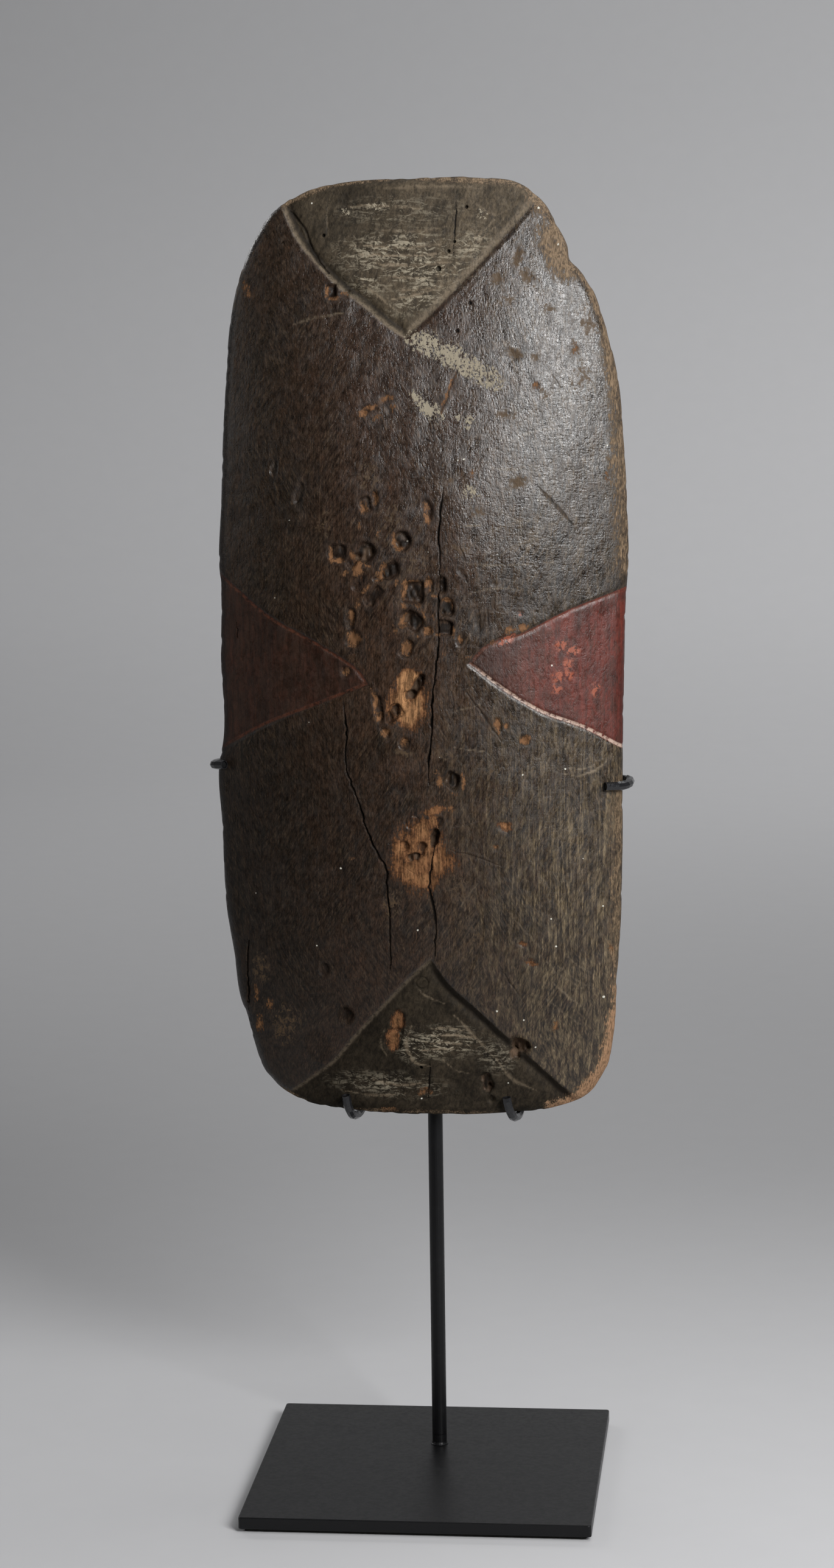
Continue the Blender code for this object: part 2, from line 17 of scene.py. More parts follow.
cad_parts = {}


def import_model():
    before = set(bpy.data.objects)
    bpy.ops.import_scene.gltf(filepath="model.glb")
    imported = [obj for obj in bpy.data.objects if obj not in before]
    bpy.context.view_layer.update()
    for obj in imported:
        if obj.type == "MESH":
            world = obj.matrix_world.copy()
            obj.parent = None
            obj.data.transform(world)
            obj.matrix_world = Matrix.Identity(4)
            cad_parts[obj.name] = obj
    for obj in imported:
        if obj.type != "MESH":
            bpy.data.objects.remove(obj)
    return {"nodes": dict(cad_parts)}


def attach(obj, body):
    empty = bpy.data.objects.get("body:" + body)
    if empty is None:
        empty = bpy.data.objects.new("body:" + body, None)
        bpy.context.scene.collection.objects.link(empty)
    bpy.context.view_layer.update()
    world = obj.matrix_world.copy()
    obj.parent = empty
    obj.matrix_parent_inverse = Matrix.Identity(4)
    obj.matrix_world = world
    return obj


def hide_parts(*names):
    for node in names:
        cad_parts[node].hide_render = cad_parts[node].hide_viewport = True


MM = 0.001

# The shield's overall form, as in its solid
SHIELD_MIDDLE = 558.6
FACE_HALF_WIDTH = 135
FACE_HALF_HEIGHT = 311
FACE_SQUARENESS = 4
FACE_CROWN = 36
FACE_CROWN_POWER = 2.2
FACE_EDGE_BACK = 11
BACK_PLANE = 26
FRONT_ROUND = 6
BACK_ROUND = 3
HOLLOW_HALF_WIDTH = 48
HOLLOW_HALF_HEIGHT = 65
HOLLOW_DEPTH = 35
GRIP_HALF_WIDTH = 12
GRIP_END_HALF_WIDTH = 17
GRIP_HALF_THICK = 8.5
GRIP_MIDDLE_BACK = 21.5
GRIP_ARCH = 5.5
GRIP_HALF_LENGTH = 71

OUTLINE = [
    (0, 310.4), (45, 310), (65, 306.8), (79.5, 297), (90.8, 278.7), (97.3, 265), (98.5, 257),
    (104, 251.2), (113.1, 238.3), (119.4, 221.1), (124.5, 204.5), (130, 176.4), (133, 142),
    (135, 100), (135.8, 62), (133.8, 35), (132.5, -10), (131.3, -85), (129.7, -175), (127, -215),
    (124.2, -255.3), (119, -279), (107, -296), (84.7, -304.9), (51.8, -308.7), (0, -310.7),
    (-57.5, -307.2), (-82.1, -302.9), (-99.1, -294.2), (-110, -283), (-118.3, -259.6),
    (-122.2, -243), (-125.3, -235), (-130.3, -198.2), (-134, -175), (-136.2, -115), (-137.1, -70),
    (-134.6, -59), (-134.5, 0), (-133.4, 45), (-134.3, 60), (-131.8, 102), (-129.6, 145),
    (-127, 179), (-123, 221), (-117, 247), (-108.5, 268), (-98.5, 285), (-87.1, 295.1),
    (-70, 303.5), (-45.7, 308.4), (-20, 310),
]

TOP_V = (
    [(-97.3, 313.5), (-87.7, 293.7), (-77.3, 272.1), (-62.2, 254.1), (-47.8, 239.6),
     (-33.1, 229), (-18.4, 216.4), (-5.8, 207.8)],
    [(95, 313.6), (80, 296.7), (53.4, 266.9), (28.4, 240.6), (10.5, 223.1), (-5.8, 207.8)],
)
BOTTOM_V = (
    [(114.5, -311.7), (99, -297), (68.3, -266), (34.1, -232.2), (17.9, -216.5), (5.5, -198.4)],
    [(-116, -311.9), (-78.8, -283.7), (-64.9, -273), (-47.2, -252.5), (-23.7, -226.7),
     (-0.3, -203.1), (5.5, -198.4)],
)
RIGHT_TRIANGLE = (
    [(145, 49.5), (134.9, 45.6), (98.9, 32.9), (70.2, 19.4), (42.5, 9.4), (33.4, -0.8)],
    [(142, -68), (131.3, -61.1), (107.3, -46.1), (80.6, -34.7), (54, -17.5), (33.4, -0.8)],
)
LEFT_TRIANGLE = (
    [(-142, -66), (-132, -60.3), (-104.3, -44.5), (-59.7, -26), (-31.4, -14.2)],
    [(-142, 62), (-130.5, 54), (-91.3, 25.3), (-75.9, 17.9), (-51.4, 4.6), (-37.7, -5.1),
     (-31.4, -14.2)],
)
ANGLES = [TOP_V, BOTTOM_V, RIGHT_TRIANGLE, LEFT_TRIANGLE]
# Each cut arm: its angle, its side (-1 left, 1 right, 0 both), how deep the cut is at each
# distance into the panel, then from where to where, and how strongly, it has dust with a painted
# highlight (walls facing the light) and painted shade (bottoms and walls in shadow)
GROOVES = [
    (0, -1, ((-0.6, 0), (4, 3.2), (5, 3.4), (7, 2.2), (11, 1.2)), (-0.2, 1.9, 0.5), (3, 5.2, 0.85)),
    (0, 1, ((-1.9, 0), (-0.3, 1.3), (1.2, 1.5), (6.5, 1)), (0.8, 4.6, 0.5), (-1.4, -0.4, 0.25)),
    (1, 1, ((-0.4, 0), (4.2, 3.2), (5.4, 3.1), (9, 1.1)), (0, 0, 0), (0.6, 5.4, 0.85)),
    (1, -1, ((-1.2, 0), (2.4, 1.9), (3.2, 1.8), (6, 1)), (-0.2, 2, 0.28), (2.8, 3.8, 0.4)),
    (2, 0, ((-0.9, 0), (0.6, 1), (1.3, 1), (2.8, 0.4)), (0, 0, 0), (2.4, 3.2, 0.25)),
    (3, 0, ((-0.9, 0), (0.6, 0.9), (1.3, 0.9), (2.8, 0.3)), (0, 0, 0), (2.2, 3.2, 0.2)),
]

# Long drying cracks: path, depth, half width
CRACKS = [
    ([(19.2, 114.9), (15.5, 84), (16.1, 68.1), (15.1, 42.1), (13.9, 5.8), (10.4, -19.6),
      (9.6, -43.2), (7.3, -63.7), (7, -80.3)], 2.8, 0.5),
    ([(-48.3, -27.3), (-46.7, -42), (-47.2, -69.7), (-40.1, -89.9), (-36.7, -102.9), (-28, -125.7),
      (-22.6, -135.1), (-22.2, -148.7), (-20.9, -177.1), (-21.4, -206.2)], 2, 0.45),
    ([(12.5, -108), (8.7, -128), (5.8, -149), (9.4, -170), (8, -196.2)], 1.4, 0.55),
    ([(26.4, 297), (26.3, 282.3), (24.3, 259.3)], 0.6, 0.4),
    ([(-118.2, -189.4), (-119.6, -214), (-119.7, -238.3)], 1.6, 0.6),
    ([(2.6, -272), (1.8, -286.3), (0.4, -298)], 1, 0.5),
]

# Scored lines and scratches: path, depth, half width
SCORES = [
    ([(-85.3, 293.7), (-72.7, 280.1), (-65.2, 261.3), (-56, 250)], 1.5, 1.5),
    ([(-56.9, 298.6), (-57, 273.7)], 0.5, 0.8), ([(28.5, 190.9), (15.9, 159.1)], 0.5, 1.3),
    ([(79.2, 112.9), (90, 101), (101.1, 87.8)], 0.3, 0.5), ([(88.3, 183.9), (94, 176)], 0.3, 0.5),
    ([(14.1, 148.7), (17.4, 143)], 0.8, 0.8), ([(28.9, 75), (33, 66)], 0.9, 1.1),
    ([(28, 62), (34, 52)], 0.8, 1), ([(-47.7, 4.7), (-37.4, 7.6)], 0.8, 0.6),
    ([(32.5, -19.8), (45, -38), (57.2, -56.9)], 0.7, 0.8),
    ([(-22.3, -120.2), (-11.2, -118.6)], 0.6, 0.5),
    ([(16.3, -122.8), (36, -128), (53.5, -134.9)], 0.7, 0.6),
    ([(20.2, -108.7), (38.6, -104.1)], 0.5, 0.6), ([(-13.4, -133.4), (3.8, -144.6)], 0.6, 0.5),
    ([(36.9, -148.3), (40, -170), (39.5, -194.3)], 0.5, 0.6),
    ([(53.1, -206.9), (60, -219), (66.4, -228.6)], 0.8, 0.7), ([(37, -192), (28, -218)], 0.4, 0.6),
    ([(64, -166), (60, -180)], 0.4, 0.7), ([(41, 34), (41, 20)], 0.9, 1),
    ([(46.5, 34), (46.5, 24)], 0.6, 0.8), ([(51, 44), (51.5, 34), (57.2, 32.6)], 0.5, 0.8),
    ([(-121.6, 23), (-121.2, 14)], 1.2, 0.9),
]

# Scratches that catch the light, lighter than the wood: path, strength, half width
PALE_LINES = [
    ([(94.6, -75.1), (104, -76.6), (112.4, -74.4), (120, -69.6), (125, -64.2)], 0.9, 1.1),
    ([(98, -71.5), (110, -71.8), (119, -66.4)], 0.6, 0.9),
    ([(21.2, -54.5), (34, -57), (46.4, -58.5)], 0.6, 0.6),
    ([(23.3, -32.4), (32, -30), (41.4, -27.2)], 0.5, 0.6),
    ([(28, 63.5), (60, 62.8), (88.5, 63.9)], 0.5, 0.5),
    ([(28.2, 88.7), (36, 88.4), (46.1, 88.5)], 0.7, 0.7),
    ([(-80.8, 217.7), (-62, 222.6), (-42.1, 225.4)], 0.45, 1.2),
    ([(32, 44), (52, 48), (70, 46)], 0.4, 0.6), ([(60, 140), (72, 147), (92, 150)], 0.4, 0.6),
    ([(44, 128), (60, 124), (80, 128)], 0.35, 0.6), ([(40, 80), (58, 88), (76, 92)], 0.35, 0.6),
    ([(50, 66), (66, 76), (84, 80)], 0.35, 0.6),
    ([(63, 57), (70, 70), (80, 84), (98, 93)], 0.4, 0.5),
    ([(52, 100), (64, 92), (80, 90)], 0.35, 0.6),
    ([(-100, -15), (-84, -10), (-66, -9)], 0.25, 0.6),
    ([(60, -170), (72, -184), (80, -196)], 0.4, 0.6),
    ([(78, -196), (90, -210), (104, -220)], 0.5, 0.6),
    ([(86, -200), (98, -212), (112, -222)], 0.5, 0.6),
    ([(84, -214), (96, -226), (108, -236)], 0.5, 0.6),
    ([(94, -196), (104, -206), (116, -214)], 0.5, 0.6),
    ([(80, -226), (92, -236), (104, -246)], 0.45, 0.6),
    ([(24, -168), (30, -156), (38, -146)], 0.4, 0.5),
    ([(58, -150), (66, -140), (72, -128)], 0.35, 0.5),
    ([(-60, 250), (-52, 262), (-48, 276)], 0.3, 0.7),
    ([(2, -248), (14, -247), (30, -249)], 1, 0.7), ([(0, -253), (16, -252), (34, -254)], 1.1, 0.8),
    ([(-2, -258), (12, -257.5), (30, -259)], 1.1, 0.7),
    ([(-4, -263), (10, -262), (24, -263)], 0.9, 0.7),
    ([(-9, -246), (-13, -260), (-7, -272), (4, -275)], 0.7, 1),
    ([(20, -238), (34, -254), (48, -270)], 0.6, 1.1),
    ([(48, -270), (58, -284), (74, -292)], 0.5, 1),
    ([(-40, -284), (-20, -288), (2, -286)], 0.6, 0.8),
    ([(-60, -292), (-36, -296), (-14, -294)], 0.5, 0.8),
    ([(10, -268), (18, -276), (30, -280)], 0.5, 0.8),
    ([(-26, -246), (-30, -258), (-24, -270)], 0.5, 0.8),
    ([(-4, -220), (4, -226), (14, -230)], 0.6, 0.9),
    ([(-40, 268), (-10, 266), (18, 268)], 0.8, 0.7), ([(-36, 262), (0, 261), (24, 263)], 0.9, 0.7),
    ([(-30, 256), (4, 255), (30, 257)], 0.9, 0.7), ([(-22, 248), (6, 247), (28, 250)], 0.8, 0.7),
    ([(-16, 240), (4, 239), (20, 243)], 0.8, 0.7), ([(-16, 233), (2, 236), (22, 243)], 0.9, 0.8),
    ([(30, 262), (44, 276), (56, 288)], 0.6, 0.7), ([(22, 250), (40, 268), (58, 284)], 0.6, 0.8),
    ([(-50, 292), (-20, 293), (10, 290)], 0.5, 0.8),
    ([(-26, 278), (-6, 276), (20, 279)], 0.5, 0.8),
    ([(-56, 298), (-57, 286), (-56, 272)], 0.5, 0.7),
    ([(-20, 304), (10, 305), (44, 303)], 0.5, 0.9), ([(36, 296), (52, 286), (62, 290)], 0.4, 0.8),
    ([(-34, 244), (-24, 236), (-12, 226)], 0.6, 0.8),
]

# Pits: across, up, half width, half height, turn in degrees, depth, squareness
PITS = [
    (-25.4, 106.9, 2.6, 5.1, 0, 1.2, 2), (-32, 102.5, 4.1, 5.3, 20, 1.4, 3),
    (9, 98.6, 3.1, 7.4, 12, 1.3, 2), (-8.5, 79, 6, 6.2, 0, 2.6, 2),
    (-51, 71, 6.5, 5.3, -8, 1.5, 4), (-33, 71.4, 6.2, 7.1, -25, 3, 3),
    (-40.2, 66, 3.1, 5.8, -30, 1.6, 3), (-16.6, 60, 6.5, 5.5, 25, 2.4, 3),
    (-38.6, 50, 2.4, 2.8, 0, 1, 2), (-27, 43.5, 3.8, 7.4, -38, 1.8, 3),
    (-1.6, 46, 7, 7.4, -12, 2.4, 4), (9.8, 50.1, 3.1, 5.3, 0, 1.2, 3),
    (17.2, 50.1, 3.4, 5.3, 0, 2.2, 3), (19.8, 35.8, 4.8, 5.3, 8, 2, 5),
    (-1.6, 27.2, 6.5, 5.5, -35, 2.4, 4), (-7.4, 29.6, 3.1, 4.1, -20, 1.2, 3),
    (-42.5, 28.4, 3.4, 7.1, -4, 1.3, 4), (-41, 15.6, 5, 6.2, -2, 1.3, 4),
    (18.5, 22.3, 5, 4.8, -8, 2.2, 6), (7.6, 20.8, 3.8, 2.8, 15, 1.2, 3),
    (-6.1, 9.7, 3.6, 5.1, -22, 1.4, 3), (28.9, 14.9, 2, 3.2, 0, 1, 3),
    (30.6, 58.1, 1.8, 4, 32, 0.9, 2), (-22.9, 55.6, 3.6, 2.5, 30, 1.1, 3),
    (41, 26, 3.6, 6, 0, 0.7, 6), (51.1, 51.4, 2.2, 2, 0, 0.8, 2), (-46.6, -6, 3.4, 3.8, 10, 1, 3),
    (22.6, -77.8, 5, 6, -8, 2.8, 2), (-16, -33, 3.4, 7, -18, 2.2, 2),
    (-25.4, -30, 2.8, 9, 8, 1.4, 3), (-20.4, -45.8, 2.6, 4, 25, 1.2, 3),
    (-8.3, -52.6, 2.6, 4, 0, 1.3, 2), (52, -41.2, 2.4, 4.2, 0, 1.1, 3),
    (58.2, -42.3, 1.7, 2.6, 0, 0.9, 3), (69.4, -51.4, 3, 3, 0, 1.2, 3),
    (55.7, -108.2, 5.2, 4, -18, 0.8, 4), (50.1, -122.1, 2, 2.2, 0, 0.9, 3),
    (13, -104.4, 2.6, 3.2, 0, 1.2, 2), (63, -259.4, 6.2, 5.2, -35, 4.4, 3),
    (58.6, -266, 3.6, 4.4, 10, 3, 2), (39.8, -285.9, 4.4, 7, 12, 2.8, 3),
    (43.2, -298, 2.8, 2.8, 0, 1.4, 2), (-18, -243, 5.2, 8, -14, 1.1, 3),
    (-21.4, -255, 5.6, 9, -12, 1.1, 3), (17.5, -285.1, 6.4, 3, -12, 0.7, 3),
    (-1.7, -295.5, 5.2, 3.4, 6, 0.9, 3), (-53.7, 238.4, 4.2, 4.6, 0, 2.4, 3),
    (-45.8, 237, 3.2, 2.6, 0, 1.1, 3), (64.4, 197.6, 4.6, 2.6, -25, 0.9, 3),
    (73.2, 247.1, 5.4, 2, -38, 0.6, 2), (65.1, 259.6, 2.4, 7.4, -8, 0.4, 2),
    (53.5, 245.6, 2.4, 4.4, 0, 0.4, 2), (103.3, 200.4, 2, 5, 0, 0.3, 2),
    (78.6, 177, 2.2, 2.6, 0, 0.5, 2), (59, 158.9, 5, 2.6, 10, 0.4, 2),
    (65.9, 115.9, 6, 3, 25, 0.4, 2), (-93, 125.4, 1.8, 6, -10, 1, 2),
    (-76.1, 109.4, 3, 7.6, -12, 1.1, 2), (-31.1, 163, 3.4, 3, 20, 1.1, 3),
    (-18.4, 170.1, 5, 3, 18, 0.9, 3), (-15.7, 163.3, 2.2, 2.4, 0, 0.9, 3),
    (-65.1, -207.2, 3.2, 4.6, 0, 1, 2), (-52.1, -238.3, 4.4, 5.4, 0, 1.6, 2),
    (-72, -261.4, 6.4, 9, 20, 0.8, 2), (72.4, -201.5, 5.6, 2.8, -32, 0.7, 3),
    (66.3, -187.8, 4, 2.4, -25, 0.7, 3), (89.1, 266.4, 7, 7.4, 0, 1, 2),
    (67, 31.4, 2, 2, 0, 0.5, 2),
]

# Knots with their broad bowl, then the holes in them
KNOTS = [
    (-4, -25, 15.5, 22, 1.5), (2.4, -127, 21.5, 27, 1.3),
]
KNOT_HOLES = [
    (-0.4, -15.6, 3.4, 8.4, -28, 3.6, 3), (-4.6, -21.8, 3.8, 3.4, 0, 2.2, 3),
    (-12.6, -31, 3, 5.4, 30, 1.4, 2), (10, -116, 2.6, 6.6, -16, 3.6, 2),
    (-4.1, -128.8, 5.2, 2.8, 18, 3.4, 2), (1.6, -122.9, 3.2, 4.6, -10, 2.2, 2),
    (-9.4, -122, 2.4, 3.8, 20, 1.4, 2),
]
# Rings cut round a core: across, up, radius
RINGS = [
    (-4.5, -105.1, 4.4), (-1, -215.4, 4),
]

# Holes left by worms: across, up, radius
WORM_HOLES = [
    (15.3, 252.3, 1.6), (21.8, 263.4, 1.1), (25.5, 269.5, 0.9), (36, 230.4, 1.1), (27.8, 212.8, 1),
    (33.1, 291.4, 1), (-59.5, 274.5, 0.9), (-3.5, -275.5, 0.9), (41.7, -288.3, 1.2),
]

# Small white specks: across, up, radius
SPECKS = [
    (-5.2, 78.7, 0.9), (8.6, 71.8, 0.5), (79.1, 104.2, 0.6), (123, 138, 0.7), (53.1, 70, 0.6),
    (28.1, 130.5, 0.7), (32, 131.2, 0.9), (-52.6, -136.8, 0.9), (-70.4, -190.3, 0.7),
    (88, -190.4, 0.9), (85.1, -171.5, 0.8), (67.8, -74.4, 0.8), (95.1, -71.8, 0.9),
    (48.4, -234.6, 1), (118.4, -227.2, 1.2), (87.1, -3.4, 0.8), (79.3, 289.8, 1), (92.5, 267, 0.8),
    (73.3, -260.3, 0.8), (14.2, -62, 0.4), (-67.4, 295.2, 0.8), (-4, -298, 0.8),
    (118.6, -165, 0.8), (66, -241, 0.8), (-2.6, -178.5, 0.9), (-112, -157, 0.5), (54.5, -286, 0.7),
    (-83, 92, 0.5), (-94, 41, 0.6), (-72, -40, 0.5), (106, -132, 0.6), (56, 143, 0.6),
]

# Raw orange-brown wood shows here: across, up, half width, half height, turn, strength
CHIPS = [
    (-25.4, 106.9, 1.8, 4, 0, 1), (-33.6, 101, 3, 4.6, 10, 0.6), (7.4, 100.5, 2, 4, 10, 0.8),
    (8, 93.5, 1.8, 4.2, 15, 0.8), (-13.6, 79, 1.6, 5.4, 0, 0.8), (-11.4, 75, 3.4, 1.8, -20, 0.8),
    (-55.8, 69.4, 1.6, 4.4, 0, 1), (-51.5, 66.4, 4.6, 1.5, 0, 1), (-40.6, 68, 1.8, 5.2, 18, 0.9),
    (-37.4, 61.6, 3.2, 3.6, 20, 1), (-22.5, 56, 3.4, 2.6, 35, 0.9), (-20.6, 62, 1.6, 4, 0, 0.7),
    (-32, 47.6, 1.4, 4.4, -38, 0.6), (-7.6, 47.6, 1.6, 6.4, -8, 1), (-1, 52.4, 4.6, 1.4, 0, 0.7),
    (8.8, 51.4, 2.2, 4.4, 0, 0.9), (12.8, 44.2, 2.8, 1.4, 0, 0.6), (21, 41.2, 3.4, 1.4, -10, 0.8),
    (24.4, 36.5, 1.2, 4, 0, 0.7), (-7.6, 28.6, 2.6, 4.6, -25, 1), (5.2, 30.5, 1.4, 5.4, 0, 0.7),
    (-42.5, 29.8, 2.4, 5, 0, 1), (-41, 15.4, 4, 5, 0, 1.1), (7.8, 21, 3.2, 2.6, 15, 1),
    (13.8, 17, 3, 1, -10, 0.6), (-6.1, 9.7, 2.8, 4.6, -20, 1.1), (28.9, 14.9, 1.2, 2.8, 0, 0.9),
    (-46.6, -5.8, 3, 3, 0, 0.5), (-27.8, -26, 1.5, 7.4, 6, 1), (-25.4, -36, 3.2, 2.6, 20, 0.8),
    (-20.6, -45.2, 2.6, 3, 20, 0.9), (-8.6, -51.6, 2, 3.4, 0, 0.9), (52, -41.4, 2.2, 4.2, 0, 1.1),
    (58.2, -42.3, 1.4, 2.6, 0, 1), (69.4, -51.4, 3, 2.6, 0, 1.1), (14.8, -78, 1.8, 4.6, 0, 0.9),
    (29.2, -77.5, 1.4, 5.6, 0, 0.9), (24, -86.4, 2.6, 1.6, -20, 0.7),
    (21, -96.5, 1.4, 3.4, 12, 0.6), (10.8, -72, 3, 1.2, 20, 0.5), (-29, 164, 6.4, 1.7, 18, 0.85),
    (-33, 161, 3, 2, 0, 0.8), (-18.4, 170.1, 5, 1.5, 16, 0.7), (-24, 158, 4, 1.3, 30, 0.6),
    (-14, 164, 1.5, 3.4, -20, 0.75), (-56.6, 238.4, 1.5, 4.4, 0, 0.85),
    (-45.8, 236.6, 2.8, 1.2, 0, 0.7), (-52, 233.6, 3.4, 1.2, 10, 0.7),
    (103.3, 200.4, 1.6, 4.6, 0, 0.5), (78.6, 177, 1.8, 2.4, 0, 0.5), (37.4, 121.7, 2, 3, 0, 0.45),
    (22.2, 175, 1.3, 15, -21.6, 0.65), (122.4, 117.6, 1.6, 3.4, 0, 0.8),
    (-45.7, -130.3, 2.6, 1.6, 20, 0.6), (50.1, -122.1, 1.8, 2, 0, 0.8),
    (124.1, -195, 1.8, 4, 0, 0.9), (86.2, -245.4, 1.8, 4.4, -14, 0.8),
    (61.5, 20.6, 3.4, 2.2, 20, 0.9), (68.6, 22, 2.6, 3.4, 0, 0.9), (49, 13, 2.6, 1.8, 18, 0.6),
    (-111, 241, 2.6, 5.4, 15, 0.55), (-114.5, -226, 2, 5.4, 4, 0.7),
    (-104.8, -233, 2.6, 4.4, 0, 0.6), (-112.5, -247, 2.4, 6.6, -6, 0.7), (-36, 88, 1.4, 3, 0, 0.6),
    (-24, 84, 1.2, 3.4, 0, 0.6), (-46, 58, 3, 1.2, 20, 0.7), (-30, 63, 2.6, 1.2, -30, 0.8),
    (-26, 52, 1.2, 3, 0, 0.7), (-13, 52, 1.2, 3.4, 0, 0.6), (2, 38, 3, 1.1, 10, 0.7),
    (-8, 37, 2.6, 1.1, 0, 0.7), (12, 28, 1.2, 3.4, 0, 0.7), (24.6, 20, 1.1, 3.6, 0, 0.6),
    (0, 18, 3, 1.2, -20, 0.7), (-14, 22, 1.2, 3, 10, 0.6), (-38, 38, 1.1, 3.4, 0, 0.6),
    (34, 4, 2.4, 1, 30, 0.5), (18, 6, 1, 3, 0, 0.5), (-2, -293, 5, 3, 0, 0.5),
    (-26.7, -307, 6, 1.6, 0, 0.7),
]

# Larger bare or worn places: across, up, half width, half height, turn, strength
BARE = [
    (-7.6, -12.5, 4.6, 8, -8, 1.5), (-3, -9, 6, 5, 0, 1.1), (-8.6, -24, 5, 10, 6, 1.2),
    (-4.6, -34, 7.6, 8.6, 0, 1.1), (0.6, -27, 6, 12, 0, 0.8), (-14.4, -26, 6, 14, -6, 0.55),
    (-4, -26, 13, 21, 0, 0.45), (1.6, -112, 5, 9, -14, 1), (6, -121, 3.6, 9, -16, 1.15),
    (-12.5, -124, 5, 7.6, 20, 0.75), (-7, -139, 8, 8, 10, 0.9), (3, -144, 8.6, 5.4, -8, 1.05),
    (10.5, -133, 5.6, 9.6, 8, 0.85), (14, -125, 4, 9, 8, 0.6), (8.4, -104, 3.6, 6, 0, 0.7),
    (0, -127, 17, 25, 0, 0.6), (18, -132, 9, 9, 0, 0.4), (-14, -134, 7, 12, 0, 0.45),
    (9, -97.6, 9, 2.4, 12, 0.7), (-18, -243, 4, 7.4, -14, 0.85), (-21, -255, 4.2, 7.6, -8, 0.8),
    (55.7, -108.2, 4.6, 3.2, -18, 0.75), (72.4, -201.5, 5, 2.2, -32, 0.5),
    (66.3, -187.8, 3.6, 1.8, -25, 0.5),
]

# Brown stains and shallow scars: across, up, half width, half height, turn, strength
STAINS = [
    (73, 247, 7, 3.6, -34, 0.9), (66, 259, 3.4, 8, -10, 0.9), (53, 246, 4.4, 5.4, 0, 0.8),
    (64, 198, 6, 3.4, -24, 0.9), (59, 159, 6.6, 3.2, 10, 0.8), (66, 116, 7.4, 4, 24, 0.8),
    (103, 200, 3, 6.4, 0, 0.8), (79, 196, 3, 3.6, 0, 0.7), (60, 232, 5, 3.4, 20, 0.7),
    (86, 226, 5, 3, -30, 0.7), (84, 172, 3.6, 5, 0, 0.6), (47, 262, 4, 5, 0, 0.6),
    (108, 182, 7, 12, 0, 0.6), (112, 216, 6, 12, 10, 0.6), (88, 280, 6, 9, 20, 0.6),
    (40, 96, 8, 5, 0, 0.5), (30, 74, 8, 6, 0, 0.45), (22, 118, 7, 6, 0, 0.45),
    (18, -60, 9, 6, 0, 0.4), (48, -72, 8, 4, 20, 0.4), (-10, -60, 8, 5, 0, 0.4),
    (-30, 120, 8, 12, 0, 0.4), (-14, 96, 8, 10, 0, 0.4), (0, 66, 9, 9, 0, 0.45),
    (-60, 90, 6, 10, 0, 0.35), (-94, -246, 10, 14, -20, 0.5), (-110, -210, 6, 12, 0, 0.45),
    (-20, -160, 9, 14, 0, 0.35), (24, -150, 10, 12, 0, 0.35), (36, -180, 8, 10, 0, 0.35),
]

# Light worn wood along the rim: from (across, up) to (across, up), how far in, strength
RIM_WEAR = [
    ((124, -196), (127, -215), 3, 0.7), ((127, -240), (124, -262), 7, 1.1),
    ((124, -262), (118, -284), 8, 1.2), ((118, -284), (104, -298), 9, 1.2),
    ((104, -298), (84, -305), 7, 1), ((-84, -303), (-100, -294), 3.4, 0.8),
    ((79, 298), (92, 277), 10, 0.75), ((90, 272), (99, 256), 15, 0.95),
    ((99, 256), (113, 238), 2.6, 0.9), ((113, 238), (125, 204), 3.4, 0.9),
    ((125, 204), (133, 142), 8, 0.7), ((133, 142), (136, 60), 11, 0.72),
    ((-87, 295), (-60, 306), 3, 0.9), ((-113, 255), (-121, 230), 3, 0.6),
    ((-60, 306), (-10, 311), 1.8, 0.7), ((0, 311), (65, 307), 2.6, 0.75),
    ((65, 307), (82, 298), 6, 0.6), ((131, -85), (128.7, -235), 9, 0.6),
    ((-57, -307), (60, -309), 2.2, 0.5),
]

# Pale paint: across, up, half width, half height, turn, strength
CREAM = [
    (8, 205, 13, 7.4, -22, 1.1), (24, 197, 12, 8, -24, 1.1), (38, 189, 14, 7.6, -26, 1.1),
    (50, 181, 8, 6.4, -30, 0.9), (1, 170.5, 5, 4.2, -30, 1.1), (8.6, 164, 7.6, 5.6, -42, 1.2),
    (17, 158.5, 3.4, 3.6, 0, 0.9), (28, 158.4, 2.4, 3, 0, 0.8), (34.4, 155, 3.4, 4.4, -20, 0.9),
    (36, 109.5, 6, 5.4, 0, 0.55), (-44.4, 290.4, 3.2, 3.6, 20, 0.9),
    (-24.5, 292.4, 9, 2.6, -4, 0.6), (43, 288, 4.4, 4, 0, 0.6),
]
# Places scraped into chalky lines: across, up, half width, half height, turn, strength
CHALK = [
    (-12, 263, 34, 13, 2, 1.1), (8, 252, 27, 12, 4, 1.1), (4, 236, 20, 9, 24, 1),
    (36, 268, 12, 9, 42, 0.9), (-10, 290, 34, 8, 0, 0.5), (-30, 248, 14, 12, -30, 0.8),
    (12, -257, 23, 10, 4, 1.1), (-8, -260, 10, 11, 30, 0.9), (-25, -288, 34, 8, -4, 0.6),
    (46, -266, 14, 10, -40, 0.6),
]

# Flaked paint on the red triangles: across, up, half width, half height, turn, strength
FLAKES = [
    (92.5, 9.5, 4, 3.2, 0, 1), (100.5, 5.4, 4.6, 3.2, -20, 1), (94.2, -10.7, 6.4, 3.6, 0, 1.2),
    (89.7, -18.6, 3, 4, 20, 1), (115.4, -21.1, 2.2, 4.4, 0, 0.9), (67, 31.4, 2, 1.6, 0, 0.6),
    (58, 14.6, 7, 2.4, 22, 0.8), (97, -3, 3.6, 3, 30, 0.7),
]

# What the wood's paint is told of each place: its name there, where, noise seed, softness
PATCHES = [
    ("chip", CHIPS, 51, 1.1), ("bare", BARE, 53, 0.75), ("stain", STAINS, 63, 1.1),
    ("cream", CREAM, 55, 0.7), ("chalk", CHALK, 57, 0.9), ("flake", FLAKES, 59, 0.6),
]

